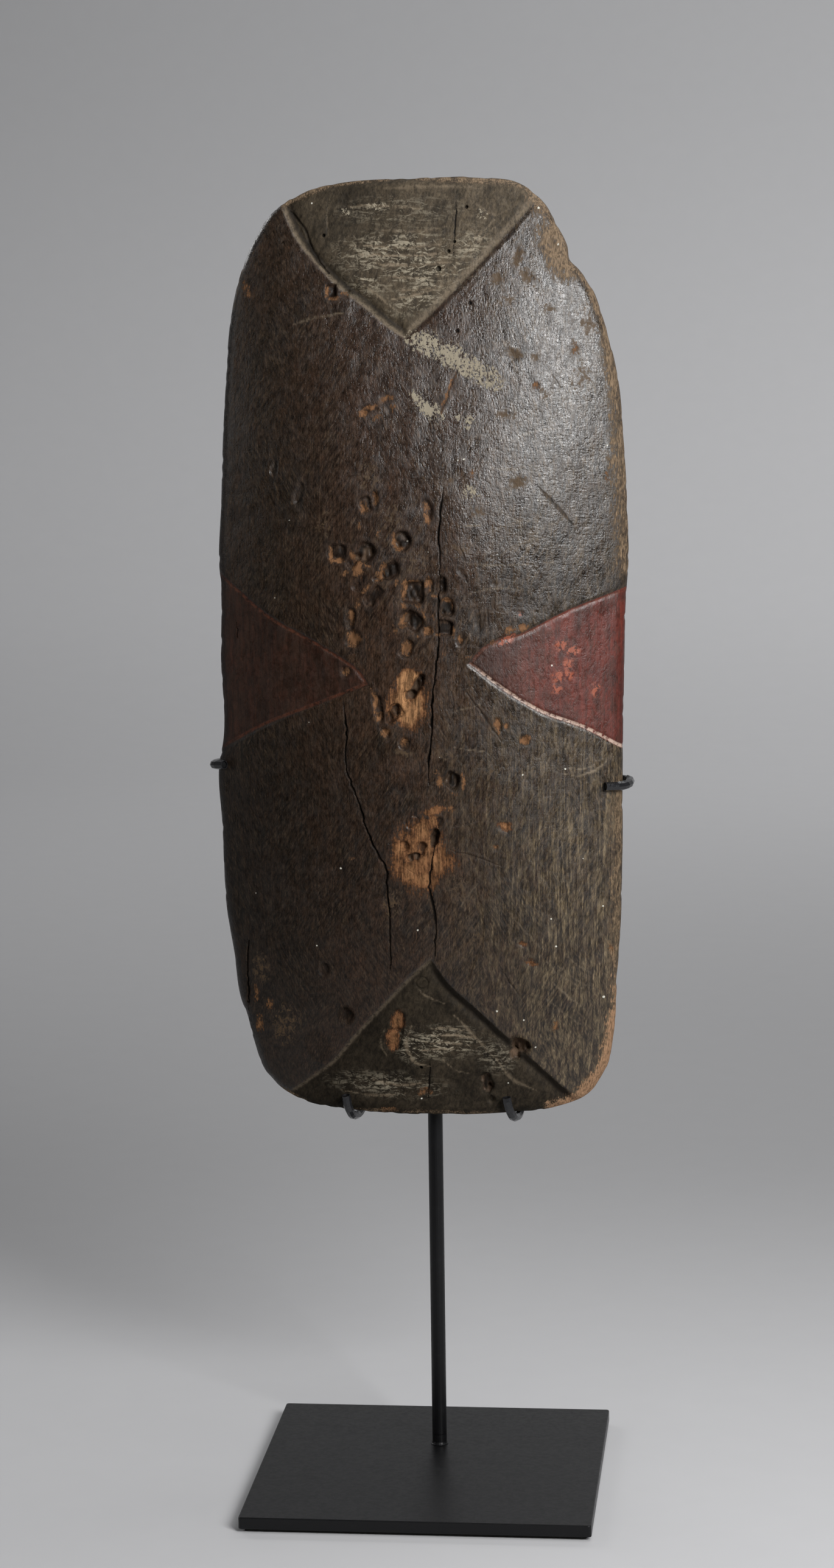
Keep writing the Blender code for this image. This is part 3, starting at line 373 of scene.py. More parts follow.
# Pits at least this deep are cut deeper than listed by this share, with steeper sides
DEEP_PIT = 1
DEEP_PIT_SHARE = 1.7
SCRATCH_COUNT = 90

# How finely the shield is drawn
PATH_STEP = 3.0
LATTICE_STEP = 2.2
GRID_ACROSS = 138
GRID_UP = 312
RIM_STEP = 1.9
RIM_INSETS = (0.25, 0.8, 1.7, 2.9, 4.4, 6.0)
RIM_FAR = 24.0
WALL_RINGS = 4
BACK_STEP = 5.0
HOLLOW_OVALS = 26
HOLLOW_SIDES = 84
GRIP_RINGS = 61
GRIP_SIDES = 48

# The bowl that is floor and backdrop, in metres
STAGE_FLOOR = 3.2
STAGE_COVE = 1.8
STAGE_WALL = [(5.0, 3.2), (4.9, 5.0)]
STAGE_SIDES = 128

# Lights: name, place, aim, width, height, watts
LIGHTS = [
    # A soft box to the right of the camera, level with the shield's upper half
    ("key", (0.92, -1.22, 1.13), (0.06, 0, 0.71), 0.72, 0.78, 33),
    # A weak fill from the left, then the floor's, the back's and the backdrop's own lights
    ("fill", (-2.2, -0.5, 1.0), (0, 0, 0.55), 1.0, 1.4, 3),
    ("above", (0.35, 0.15, 2.0), (0.2, 0.1, 0), 0.9, 0.9, 7.9),
    ("rear", (-1.9, 1.9, 1.7), (0, 0, 0.6), 0.9, 0.9, 10),
    ("behind", (1.06, 2.9, 2.77), (1.06, 4.5, 0.42), 2.2, 0.74, 63),
    ("behind_left", (-0.92, 2.9, 2.77), (-0.92, 4.5, 0.42), 2.2, 0.74, 11.5),
]
WORLD_STRENGTH = 0.05

# Camera, from the plate's corners and the rod in the photograph
CAMERA_PLACE = (0.2410, -2.3199, 0.8394)
CAMERA_YAW = -6.01
CAMERA_PITCH = 8.87
CAMERA_ROLL = -0.8
CAMERA_LENS = 82.33

# The wood's colours, linear red, green, blue
BLACK_WOOD = (0.015, 0.0112, 0.0078)
BROWN_WOOD = (0.048, 0.026, 0.015)
GINGER_WOOD = (0.13, 0.06, 0.03)
PURPLE_WOOD = (0.032, 0.0195, 0.015)
WORN_WOOD = (0.068, 0.045, 0.0265)
OLIVE_WOOD = (0.118, 0.088, 0.051)
STAIN_BROWN = (0.095, 0.062, 0.035)
WORN_LINE = (0.22, 0.17, 0.115)
PANEL_DARK = (0.043, 0.0325, 0.0205)
PANEL_LIGHT = (0.113, 0.086, 0.0555)
# Dust with a painted highlight, laid on the grooves' walls that face the light
DUST_AND_HIGHLIGHT = (0.2, 0.156, 0.109)
CREAM_PAINT = (0.35, 0.305, 0.225)
RAW_WOOD = (0.23, 0.115, 0.054)
RAW_DARK = (0.062, 0.033, 0.017)
RIM_WOOD = (0.22, 0.155, 0.098)
FRESH_WOOD = (0.34, 0.2, 0.115)
KNOT_WOOD = (0.256, 0.133, 0.061)
KNOT_BROWN = (0.135, 0.062, 0.028)
KNOT_DARK = (0.04, 0.019, 0.01)
# The red paint as a lit copy and a copy in painted shade, then its brown and its flakes
RED_LIT = (0.082, 0.014, 0.008)
RED_SHADED = (0.025, 0.0125, 0.008)
RED_BROWN = (0.036, 0.014, 0.0085)
RED_FLAKE = (0.34, 0.09, 0.045)
# Pale pink for the painted highlight on the right triangle's lower border
PINK_HIGHLIGHT_EDGE = (0.52, 0.38, 0.3)
ORANGE_EDGE = (0.19, 0.056, 0.027)
PAINTED_CRACK_SHADE = (0.004, 0.003, 0.0022)
SPECK_WHITE = (0.62, 0.6, 0.52)
BACK_WOOD = (0.118, 0.077, 0.05)
BACK_DARK = (0.05, 0.032, 0.022)


def smooth(points, spacing, closed=False):
    """Points along a smooth curve through the given ones, no further apart than the spacing."""
    points = np.array(points, float)
    if closed:
        ring = np.vstack([points[-1], points, points[:2]])
    else:
        ring = np.vstack([2 * points[0] - points[1], points, 2 * points[-1] - points[-2]])
    lengths = np.linalg.norm(np.diff(ring, axis=0), axis=1)[:, None]
    slopes = np.diff(ring, axis=0) / lengths
    tangents = slopes[:-1] * lengths[1:] + slopes[1:] * lengths[:-1]
    tangents /= lengths[1:] + lengths[:-1]
    if closed:
        tangents = np.vstack([tangents, tangents[:1]])
    curve = []
    for index in range(len(ring) - 3):
        start, end = ring[index + 1], ring[index + 2]
        run = lengths[index + 1]
        steps = max(1, math.ceil(float(run[0]) / spacing - 1e-6))
        for t in np.arange(steps) / steps:
            curve.append(
                start * (2 * t**3 - 3 * t**2 + 1)
                + end * (3 * t**2 - 2 * t**3)
                + tangents[index] * run * (t**3 - 2 * t**2 + t)
                + tangents[index + 1] * run * (t**3 - t**2)
            )
    if not closed:
        curve.append(points[-1])
    return np.array(curve)


def distance_to(points, path, closed=False):
    """How far each point is from a path of straight runs."""
    path = np.array(path, float)
    if closed:
        path = np.vstack([path, path[:1]])
    nearest = np.full(len(points), np.inf)
    for start, end in zip(path[:-1], path[1:]):
        run = end - start
        along = np.clip((points - start) @ run / (run @ run), 0, 1)
        gaps = np.linalg.norm(points - start - along[:, None] * run, axis=1)
        nearest = np.minimum(nearest, gaps)
    return nearest


def inside(points, polygon):
    """Which points are inside a polygon."""
    across, up = points.T
    result = np.zeros(len(points), bool)
    for (x1, y1), (x2, y2) in zip(polygon, np.roll(polygon, -1, axis=0)):
        if y1 != y2:
            crossing = x1 + (x2 - x1) * (up - y1) / (y2 - y1)
            result ^= ((y1 > up) != (y2 > up)) & (across < crossing)
    return result


def side_of(path, distance, closed=False):
    """The path moved sideways by a distance, to its left, mitred at its corners."""
    if closed:
        ring = np.vstack([path[-1], path, path[0]])
    else:
        ring = np.vstack([2 * path[0] - path[1], path, 2 * path[-1] - path[-2]])
    runs = np.diff(ring, axis=0)
    runs /= np.linalg.norm(runs, axis=1)[:, None]
    normals = np.stack([-runs[:, 1], runs[:, 0]], axis=1)
    middle = normals[:-1] + normals[1:]
    middle /= np.linalg.norm(middle, axis=1)[:, None]
    stretch = np.clip((middle * normals[1:]).sum(axis=1), 0.4, 1.0)
    return path + middle * (distance / stretch)[:, None]


def swells(points, size, seed):
    """Smooth noise from -1 to 1; size is the distance between swells along each axis."""
    table = np.random.default_rng(seed).uniform(-1, 1, (256, 256))
    place = points / np.array(size, float)
    cell = np.floor(place).astype(int)
    t = place - cell
    t = t * t * t * (t * (t * 6 - 15) + 10)
    x0, y0 = cell[:, 0] % 256, cell[:, 1] % 256
    x1, y1 = (x0 + 1) % 256, (y0 + 1) % 256
    low = table[x0, y0] * (1 - t[:, 0]) + table[x1, y0] * t[:, 0]
    high = table[x0, y1] * (1 - t[:, 0]) + table[x1, y1] * t[:, 0]
    return low * (1 - t[:, 1]) + high * t[:, 1]


def turned(points, degrees):
    """The points turned about the origin."""
    c, s = math.cos(math.radians(degrees)), math.sin(math.radians(degrees))
    return points @ np.array([[c, s], [-s, c]])


def reach_of(points, across, up, half_width, half_height, degrees, squareness=2):
    """How far out of an oval, or squarish, patch each point is: 0 its middle, 1 its edge."""
    offset = turned(points - (across, up), -degrees) / (half_width, half_height)
    return (np.abs(offset) ** squareness).sum(axis=1) ** (1 / squareness)


def angle_path(arms):
    """One path in along the first arm of an angle and out along the second."""
    first, second = (smooth(arm, PATH_STEP) for arm in arms)
    return np.vstack([first, second[::-1][1:]])


def face_depth(points):
    """How far back the uncut face lies, from its crown to its edge."""
    across = (np.abs(points[:, 0]) / FACE_HALF_WIDTH) ** FACE_SQUARENESS
    up = (np.abs(points[:, 1]) / FACE_HALF_HEIGHT) ** FACE_SQUARENESS
    reach = (across + up) ** (FACE_CROWN_POWER / FACE_SQUARENESS)
    return FACE_EDGE_BACK - FACE_CROWN * (1 - reach)


def rounding(gap):
    """How far back the rounded rim takes the face, at a distance in from the outline."""
    inward = np.clip(FRONT_ROUND - gap, 0, FRONT_ROUND)
    return FRONT_ROUND - np.sqrt(FRONT_ROUND**2 - inward**2)


def ease(value):
    value = np.clip(value, 0, 1)
    return value * value * (3 - 2 * value)


def into_panel(points, angle):
    """How far inside an angle's panel each point is; outside it is negative."""
    path = angle_path(ANGLES[angle])
    far = distance_to(points, path)
    return np.where(inside(points, path), far, -far)


def arm_share(points, angle, side):
    """One by the arm on this side of the angle's point, nothing by the other arm."""
    if side == 0:
        return np.ones(len(points))
    past = (points[:, 0] - ANGLES[angle][0][-1][0]) * side
    return ease(past / 6 + 0.5)


def scratches():
    """Short, shallow scratches scattered over the face."""
    random = np.random.default_rng(61)
    found = []
    for _ in range(SCRATCH_COUNT):
        across, up = random.uniform((-110, -270), (118, 290))
        degrees = random.choice([-62, -48, -35, 3, 12, 40, 58, 95]) + random.normal(0, 9)
        angle = math.radians(degrees)
        reach = random.uniform(3, 13)
        step = np.array([math.cos(angle), math.sin(angle)]) * reach
        bend = np.array([-step[1], step[0]]) * random.normal(0, 0.08)
        middle = np.array([across, up])
        path = [tuple(middle - step), tuple(middle + bend), tuple(middle + step)]
        found.append((path, random.uniform(0.15, 0.4), random.uniform(0.45, 0.8)))
    return found


def line_cover(points, path, half_width, spare):
    """How strongly a crack or a scratch covers each point; it wavers, thins and fades."""
    path = smooth(path, PATH_STEP)
    margin = half_width * 3 + 2
    low, high = path.min(axis=0) - margin, path.max(axis=0) + margin
    cover = np.zeros(len(points))
    box = np.where(((points > low) & (points < high)).all(axis=1))[0]
    if not len(box):
        return cover
    points = points[box]
    ends = np.minimum(
        np.linalg.norm(points - path[0], axis=1), np.linalg.norm(points - path[-1], axis=1)
    )
    waver = np.stack([swells(points, (4, 3.1), 6), swells(points, (5, 4.3), 7)], axis=1)
    gap = distance_to(points + 0.5 * waver, path)
    wide = half_width * (1 + 0.55 * swells(points, (9, 7.7), 8)) * np.clip(ends / 12, 0.35, 1)
    cover[box] = np.clip(1 + spare - gap / wide, 0, 1) * (1 + 0.35 * swells(points, (15, 14), 9))
    return cover


def spots(points, listed, share, soft, strength):
    """For each round spot, how strongly it covers each point."""
    for across, up, radius in listed:
        gap = np.linalg.norm(points - (across, up), axis=1)
        yield strength * ease((share * radius - gap) / soft + 0.5)


def carving(points):
    """How deep the angles, scores, cracks, pits and knots cut into the face."""
    wander = np.stack([swells(points, (4, 6), 1), swells(points, (5, 4), 2)], axis=1)
    loose = points + 0.35 * wander
    depth = np.zeros(len(points))
    for angle, side, profile, _, _ in GROOVES:
        into = into_panel(loose, angle)
        cut = np.interp(into, *zip(*profile)) * (1 + 0.12 * swells(points, (18, 18), 3))
        depth += cut * arm_share(points, angle, side)
    for path, line_depth, half_width in CRACKS + SCORES + scratches():
        depth += line_depth * line_cover(points, path, half_width, 0.0)
    for *shape, pit_depth, squareness in PITS + KNOT_HOLES:
        deep = pit_depth >= DEEP_PIT
        reach = reach_of(points + 1.1 * wander, *shape, squareness)
        rough = 1 + 0.35 * swells(points, (2.2, 4.5), 4)
        sunk = ease((1.1 - reach) / (0.32 if deep else 0.7))
        depth += pit_depth * (DEEP_PIT_SHARE if deep else 1.0) * rough * sunk
    for *shape, knot_depth in KNOTS:
        reach = reach_of(points + 1.5 * wander, *shape, 0)
        fibres = 1 + 0.35 * swells(points, (1.8, 9), 5)
        depth += knot_depth * fibres * ease(1.15 - reach)
    for across, up, radius in RINGS:
        gap = np.abs(np.linalg.norm(points - (across, up), axis=1) - radius)
        depth += 0.8 * np.clip(1 - gap / 1.0, 0, 1)
    for cover in spots(points, WORM_HOLES, 1.0, 0.6, 2.6):
        depth += cover
    return depth


def unevenness(points, gap):
    """The hand-cut, worn and leathery surface: broad facets, dents and fine ripples."""
    high = ease((points[:, 1] + 20) / 120)
    depth = 0.34 * swells(points, (27, 46), 11) + (0.11 + 0.12 * high) * swells(points, (9, 13), 12)
    ripples = 0.075 * swells(turned(points, 28), (3.6, 9), 13)
    ripples += 0.05 * swells(turned(points, -12), (4.2, 7), 14)
    depth += ripples * (0.7 + 0.9 * high)
    panel = np.zeros(len(points))
    for arms in ANGLES[:2]:
        panel += inside(points, angle_path(arms))
    depth += panel * (0.16 * swells(points, (9, 3.6), 15) + 0.10 * swells(points, (5, 4.2), 16))
    worn = np.clip(1 - gap / 14, 0, 1)
    depth += worn * (0.25 * swells(points, (9, 12), 17) + 0.2)
    for start, end, far_in, strength in RIM_WEAR:
        near = distance_to(points, [start, end])
        broken = ease(1.2 - near / far_in) * strength
        depth += broken * (0.10 + (0.35 if far_in < 10 else 0.12) * swells(points, (3.4, 5.5), 18))
    return depth


def lattice(outline):
    """Points over the face in nested triangles, closer where it is carved finely."""
    cuts = CRACKS + SCORES
    fine = [(angle_path(arms), far) for arms, far in zip(ANGLES, (7.5, 7.5, 4, 4))]
    fine += [(smooth(path, PATH_STEP), half_width + 1.0) for path, _, half_width in PALE_LINES]
    fine += [(smooth(path, PATH_STEP), half_width + 2.2) for path, _, half_width in cuts]
    finest = [(smooth(path, PATH_STEP), half_width + 0.55) for path, _, half_width in cuts]
    wide = [(*pit[:2], max(pit[2:4]) + 2.0) for pit in PITS + KNOT_HOLES]
    wide += [(*knot[:2], knot[3] + 1) for knot in KNOTS]
    wide += [(*ring[:2], ring[2] + 3) for ring in RINGS]
    small = [
        (across, up, radius + more)
        for listed, more in ((WORM_HOLES, 1.0), (SPECKS, 0.8), (RINGS, 1.2))
        for across, up, radius in listed
    ]

    def grid(step):
        tall = step * math.sqrt(0.75)
        rows = np.arange(math.ceil(-GRID_UP / tall), math.floor(GRID_UP / tall) + 1)
        columns = np.arange(-1000, 1000)
        across = columns[None, :] * step + rows[:, None] * step / 2
        up = np.broadcast_to(rows[:, None] * tall, across.shape)
        held = np.abs(across) < GRID_ACROSS
        return np.stack([across[held], up[held]], axis=1)

    def near(points, lines, places):
        close = np.zeros(len(points), bool)
        for path, far in lines:
            low, high = path.min(axis=0) - far, path.max(axis=0) + far
            box = np.where(((points > low) & (points < high)).all(axis=1))[0]
            close[box] |= distance_to(points[box], path) < far
        for across, up, far in places:
            close |= np.linalg.norm(points - (across, up), axis=1) < far
        return close

    def held(points, share):
        margin = FRONT_ROUND + 0.4 * LATTICE_STEP / share
        return points[inside(points, side_of(outline, -margin, closed=True))]

    coarse, half, quarter = (grid(LATTICE_STEP / share) for share in (1, 2, 4))
    half = half[near(half, fine, wide + small)]
    quarter = quarter[near(quarter, finest, small)]
    merged = np.vstack([held(coarse, 1), held(half, 1.4), held(quarter, 2)])
    _, first = np.unique(np.round(merged, 3), axis=0, return_index=True)
    return merged[np.sort(first)]


def joined(points, edges):
    """Triangles over the points that keep the given edges."""
    places = [Vector(point) for point in points]
    found, _, faces, *_ = delaunay_2d_cdt(places, edges, [], 1, 1e-7)
    return np.array([tuple(point) for point in found]), [tuple(face) for face in faces]


def ring_edges(first, count):
    return [(first + i, first + (i + 1) % count) for i in range(count)]


def hollow(points):
    """How deep the hollow for the hand cuts into the back."""
    offset = points / (HOLLOW_HALF_WIDTH, HOLLOW_HALF_HEIGHT)
    reach = (offset**2).sum(axis=1)
    return HOLLOW_DEPTH * np.clip(1 - reach**2, 0, 1)


def tool_marks(points):
    """Shallow scoops left by the adze on the back, always into the wood."""
    across = swells(turned(points, 8), (13, 34), 21)
    return 0.35 + 0.35 * across + 0.12 * swells(points, (5, 12), 22)


def boundary(faces):
    edges = [edge for face in faces for edge in zip(face, face[1:] + face[:1])]
    known = set(edges)
    following = {start: end for start, end in edges if (end, start) not in known}
    loop = [next(iter(following))]
    while following[loop[-1]] != loop[0]:
        loop.append(following[loop[-1]])
    return loop


def rim_gap(points, outline):
    """How far in from the outline each point is; RIM_FAR stands for all beyond it."""
    gap = np.full(len(points), RIM_FAR)
    near = ~inside(points, side_of(smooth(OUTLINE, 12.0, closed=True), -20, closed=True))
    gap[near] = np.minimum(distance_to(points[near], outline, closed=True), RIM_FAR)
    return gap


def square_grid(polygon, step):
    low, high = polygon.min(axis=0), polygon.max(axis=0)
    found = []
    for index, up in enumerate(np.arange(low[1], high[1], step * math.sqrt(0.75))):
        start = low[0] + (index % 2) * step / 2
        found += [(across, up) for across in np.arange(start, high[0], step)]
    found = np.array(found)
    found = found[inside(found, polygon)]
    found = found[distance_to(found, polygon, closed=True) > 0.5 * step]
    in_hollow = (found / (HOLLOW_HALF_WIDTH + 1.5, HOLLOW_HALF_HEIGHT + 1.5)) ** 2
    return list(found[in_hollow.sum(axis=1) > 1])


def circle(count):
    return np.arange(count) * 2 * math.pi / count


def loft(builder, loops, flipped=False):
    """Faces between each closed loop of vertices and the next."""
    for near, far in zip(loops[:-1], loops[1:]):
        for i in range(len(near)):
            j = (i + 1) % len(near)
            corners = (near[i], far[i], far[j], near[j])
            builder.faces.new(corners[:1] + corners[:0:-1] if flipped else corners)


def mesh_of(builder, name):
    mesh = bpy.data.meshes.new(name)
    builder.to_mesh(mesh)
    builder.free()
    return mesh


def back_surface(rim):
    """The back's points, depths and triangles, with the hollow for the hand."""
    points = square_grid(rim, BACK_STEP)
    for reach in np.linspace(0.06, 1.0, HOLLOW_OVALS):
        angles = circle(HOLLOW_SIDES)
        oval = (np.cos(angles) * HOLLOW_HALF_WIDTH, np.sin(angles) * HOLLOW_HALF_HEIGHT)
        points += list(np.stack(oval, axis=1) * reach)
    points, faces = joined(np.vstack([rim, np.array(points)]), ring_edges(0, len(rim)))
    gap = distance_to(points, rim, closed=True)
    return points, BACK_PLANE - hollow(points) - tool_marks(points) * ease(gap / 6), faces


def shield_mesh():
    """The whole shield but its grip, as one closed mesh in metres."""
    outline = smooth(OUTLINE, RIM_STEP, closed=True)
    nicks = np.clip(swells(outline, (5, 5), 31) - 0.15, 0, 1) * 0.8
    inward = side_of(outline, -1.0, closed=True) - outline
    outline = outline + inward * nicks[:, None]
    rings = [outline] + [side_of(outline, -inset, closed=True) for inset in RIM_INSETS]
    edges = []
    for index in range(len(rings)):
        edges += ring_edges(index * len(outline), len(outline))
    face_points, face_faces = joined(np.vstack(rings + [lattice(outline)]), edges)
    gap = rim_gap(face_points, outline)
    depths = face_depth(face_points) + rounding(gap)
    depths += (carving(face_points) + unevenness(face_points, gap)) * ease(gap / 2.2 + 0.15)
    loop = boundary(face_faces)
    edge, edge_depth = face_points[loop], depths[loop]
    rim = side_of(edge, BACK_ROUND, closed=True)
    back_points, back_depths, back_faces = back_surface(rim)

    builder = bmesh.new()

    def add(places, depth):
        return [
            builder.verts.new((p[0] * MM, y * MM, (p[1] + SHIELD_MIDDLE) * MM))
            for p, y in zip(places, np.broadcast_to(depth, len(places)))
        ]

    face_verts = add(face_points, depths)
    back_verts = add(back_points, back_depths)
    for face in face_faces:
        builder.faces.new([face_verts[i] for i in face])
    for face in back_faces:
        builder.faces.new([back_verts[i] for i in reversed(face)])
    nearest = [int(np.linalg.norm(back_points - point, axis=1).argmin()) for point in rim]
    wall_end = BACK_PLANE - BACK_ROUND
    loops = [[face_verts[i] for i in loop]]
    for index in range(1, WALL_RINGS + 1):
        t = index / WALL_RINGS
        depth = edge_depth * (1 - t) + wall_end * t
        worn = 0.3 * (1 + swells(np.stack([np.arange(len(edge)) * 0.4, depth], axis=1), (7, 3), 32))
        worn = worn[:, None]
        loops.append(add(side_of(edge, 1.0, closed=True) * worn + edge * (1 - worn), depth))
    for degrees in (30, 60):
        inset = BACK_ROUND * (1 - math.cos(math.radians(degrees)))
        depth = wall_end + BACK_ROUND * math.sin(math.radians(degrees))
        loops.append(add(side_of(edge, inset, closed=True), depth))
    loops.append([back_verts[i] for i in nearest])
    loft(builder, loops)
    bmesh.ops.triangulate(builder, faces=[f for f in builder.faces if len(f.verts) > 3])
    bmesh.ops.remove_doubles(builder, verts=builder.verts, dist=0.05 * MM)
    bmesh.ops.recalc_face_normals(builder, faces=builder.faces)
    return mesh_of(builder, "shield_wood")


def grip_mesh():
    """The bar that the hand closes on, arched along its length, oval across, knife-cut."""
    builder = bmesh.new()
    rings = []
    angles = circle(GRIP_SIDES)
    for t in np.linspace(-1, 1, GRIP_RINGS):
        half_width = GRIP_HALF_WIDTH + (GRIP_END_HALF_WIDTH - GRIP_HALF_WIDTH) * t**4
        middle = GRIP_MIDDLE_BACK - GRIP_ARCH * t**2
        up = t * GRIP_HALF_LENGTH
        flats = swells(np.stack([angles * 9, np.full(GRIP_SIDES, up)], axis=1), (11, 16), 41)
        ring = []
        for angle, flat in zip(angles, flats):
            lean = 1 - 0.022 - 0.02 * flat
            x = half_width * math.cos(angle) * lean
            y = middle + GRIP_HALF_THICK * math.sin(angle) * lean
            ring.append(builder.verts.new((x * MM, y * MM, (up + SHIELD_MIDDLE) * MM)))
        rings.append(ring)
    loft(builder, rings, flipped=True)
    builder.faces.new(rings[0][::-1])
    builder.faces.new(rings[-1])
    bmesh.ops.recalc_face_normals(builder, faces=builder.faces)
    return mesh_of(builder, "grip")


def patches(points, places, noise_seed, soft=0.55):
    """How strongly any of the listed patches covers each point."""
    wander = np.stack(
        [swells(points, (4, 6), noise_seed), swells(points, (6, 4), noise_seed + 1)], axis=1
    )
    fine_sizes = ((1.9, 3.4), (2.6, 2.2))
    fine = [swells(points, size, noise_seed + 20 + i) for i, size in enumerate(fine_sizes)]
    fine = np.stack(fine, axis=1)
    loose = points + 0.9 * wander + 0.8 * fine
    cover = np.zeros(len(points))
    for across, up, half_width, half_height, degrees, strength in places:
        box = np.where(
            (np.abs(points - (across, up)) < 2.5 * max(half_width, half_height) + 3).all(axis=1)
        )[0]
        reach = reach_of(loose[box], across, up, half_width, half_height, degrees)
        cover[box] = np.maximum(cover[box], strength * np.clip((1.0 - reach) / soft + 0.5, 0, 1.5))
    return cover


def strongest(covers):
    return reduce(np.maximum, covers)


def mark(mesh):
    """Writes on the mesh's points what the wood's paint needs to know of each place."""
    flat = np.empty(len(mesh.vertices) * 3)
    mesh.vertices.foreach_get("co", flat)
    places = flat.reshape(-1, 3) / MM
    points, back = places[:, [0, 2]] - (0, SHIELD_MIDDLE), places[:, 1]
    gap = rim_gap(points, smooth(OUTLINE, 4.0, closed=True))
    face = ease((face_depth(points) + rounding(gap) + 7 - back) / 3)
    wall = ease((3.2 - gap) / 2) * ease((24.5 - back) / 2.5)

    def lines(listed, spare, weigh):
        for path, given, half_width in listed:
            yield line_cover(points, path, half_width, spare) * weigh(given)

    def pits(out_to, soft, full_depth, most):
        for *shape, depth, squareness in PITS + KNOT_HOLES:
            reach = reach_of(points, *shape, squareness)
            yield ease((out_to - reach) / soft) * min(depth / full_depth, most)

    panel = np.maximum(into_panel(points, 0), into_panel(points, 1))
    red = np.maximum(into_panel(points, 2), into_panel(points, 3))
    # Along each groove: dust with a painted highlight, and painted shade
    dust_and_highlight, dark = np.zeros(len(points)), np.zeros(len(points))
    for angle, side, _, *bands in GROOVES:
        into = into_panel(points, angle)
        share = arm_share(points, angle, side)
        for field, (start, end, strength) in zip((dust_and_highlight, dark), bands):
            band = ease((into - start) / 1.2 + 0.5) * ease((end - into) / 1.2 + 0.5)
            np.maximum(field, band * share * strength, out=field)
    cut = strongest(
        chain(lines(CRACKS + SCORES, 2.5, lambda depth: 1), pits(1.7, 0.5, 1.2, 1.0))
    )
    on_face = {
        "dust_and_highlight": dust_and_highlight,
        "dark": dark,
        "cut": np.minimum(cut, 1),
        "crack": strongest(lines(CRACKS, 0.3, lambda depth: 1)),
        "score": strongest(lines(SCORES + scratches(), 0.3, lambda depth: min(depth / 1.1, 1))),
        "pale": strongest(lines(PALE_LINES, 0.3, lambda strength: strength)),
        "dent": strongest(
            chain(pits(1.0, 0.6, 1.9, 1.2), spots(points, WORM_HOLES, 1.0, 0.8, 1.6))
        ),
        "speck": strongest(spots(points, SPECKS, 0.75, 0.5, 1)),
    }
    for name, listed, seed, soft in PATCHES:
        on_face[name] = patches(points, listed, seed, soft)
    marks = {name: values * face for name, values in on_face.items()}
    marks["face"] = face
    marks["front"] = np.maximum(face, wall)
    marks["panel"] = np.where(face > 0.5, panel, -50)
    marks["red"] = np.where(back < BACK_PLANE - 3, red, -50)
    marks["wear"] = strongest(
        strength * np.clip(1.3 - distance_to(points, [start, end]) / far_in, 0, 1)
        for start, end, far_in, strength in RIM_WEAR
    )
    for name, values in marks.items():
        layer = mesh.attributes.new(name, "FLOAT", "POINT")
        layer.data.foreach_set("value", np.ascontiguousarray(values, dtype=np.float32))


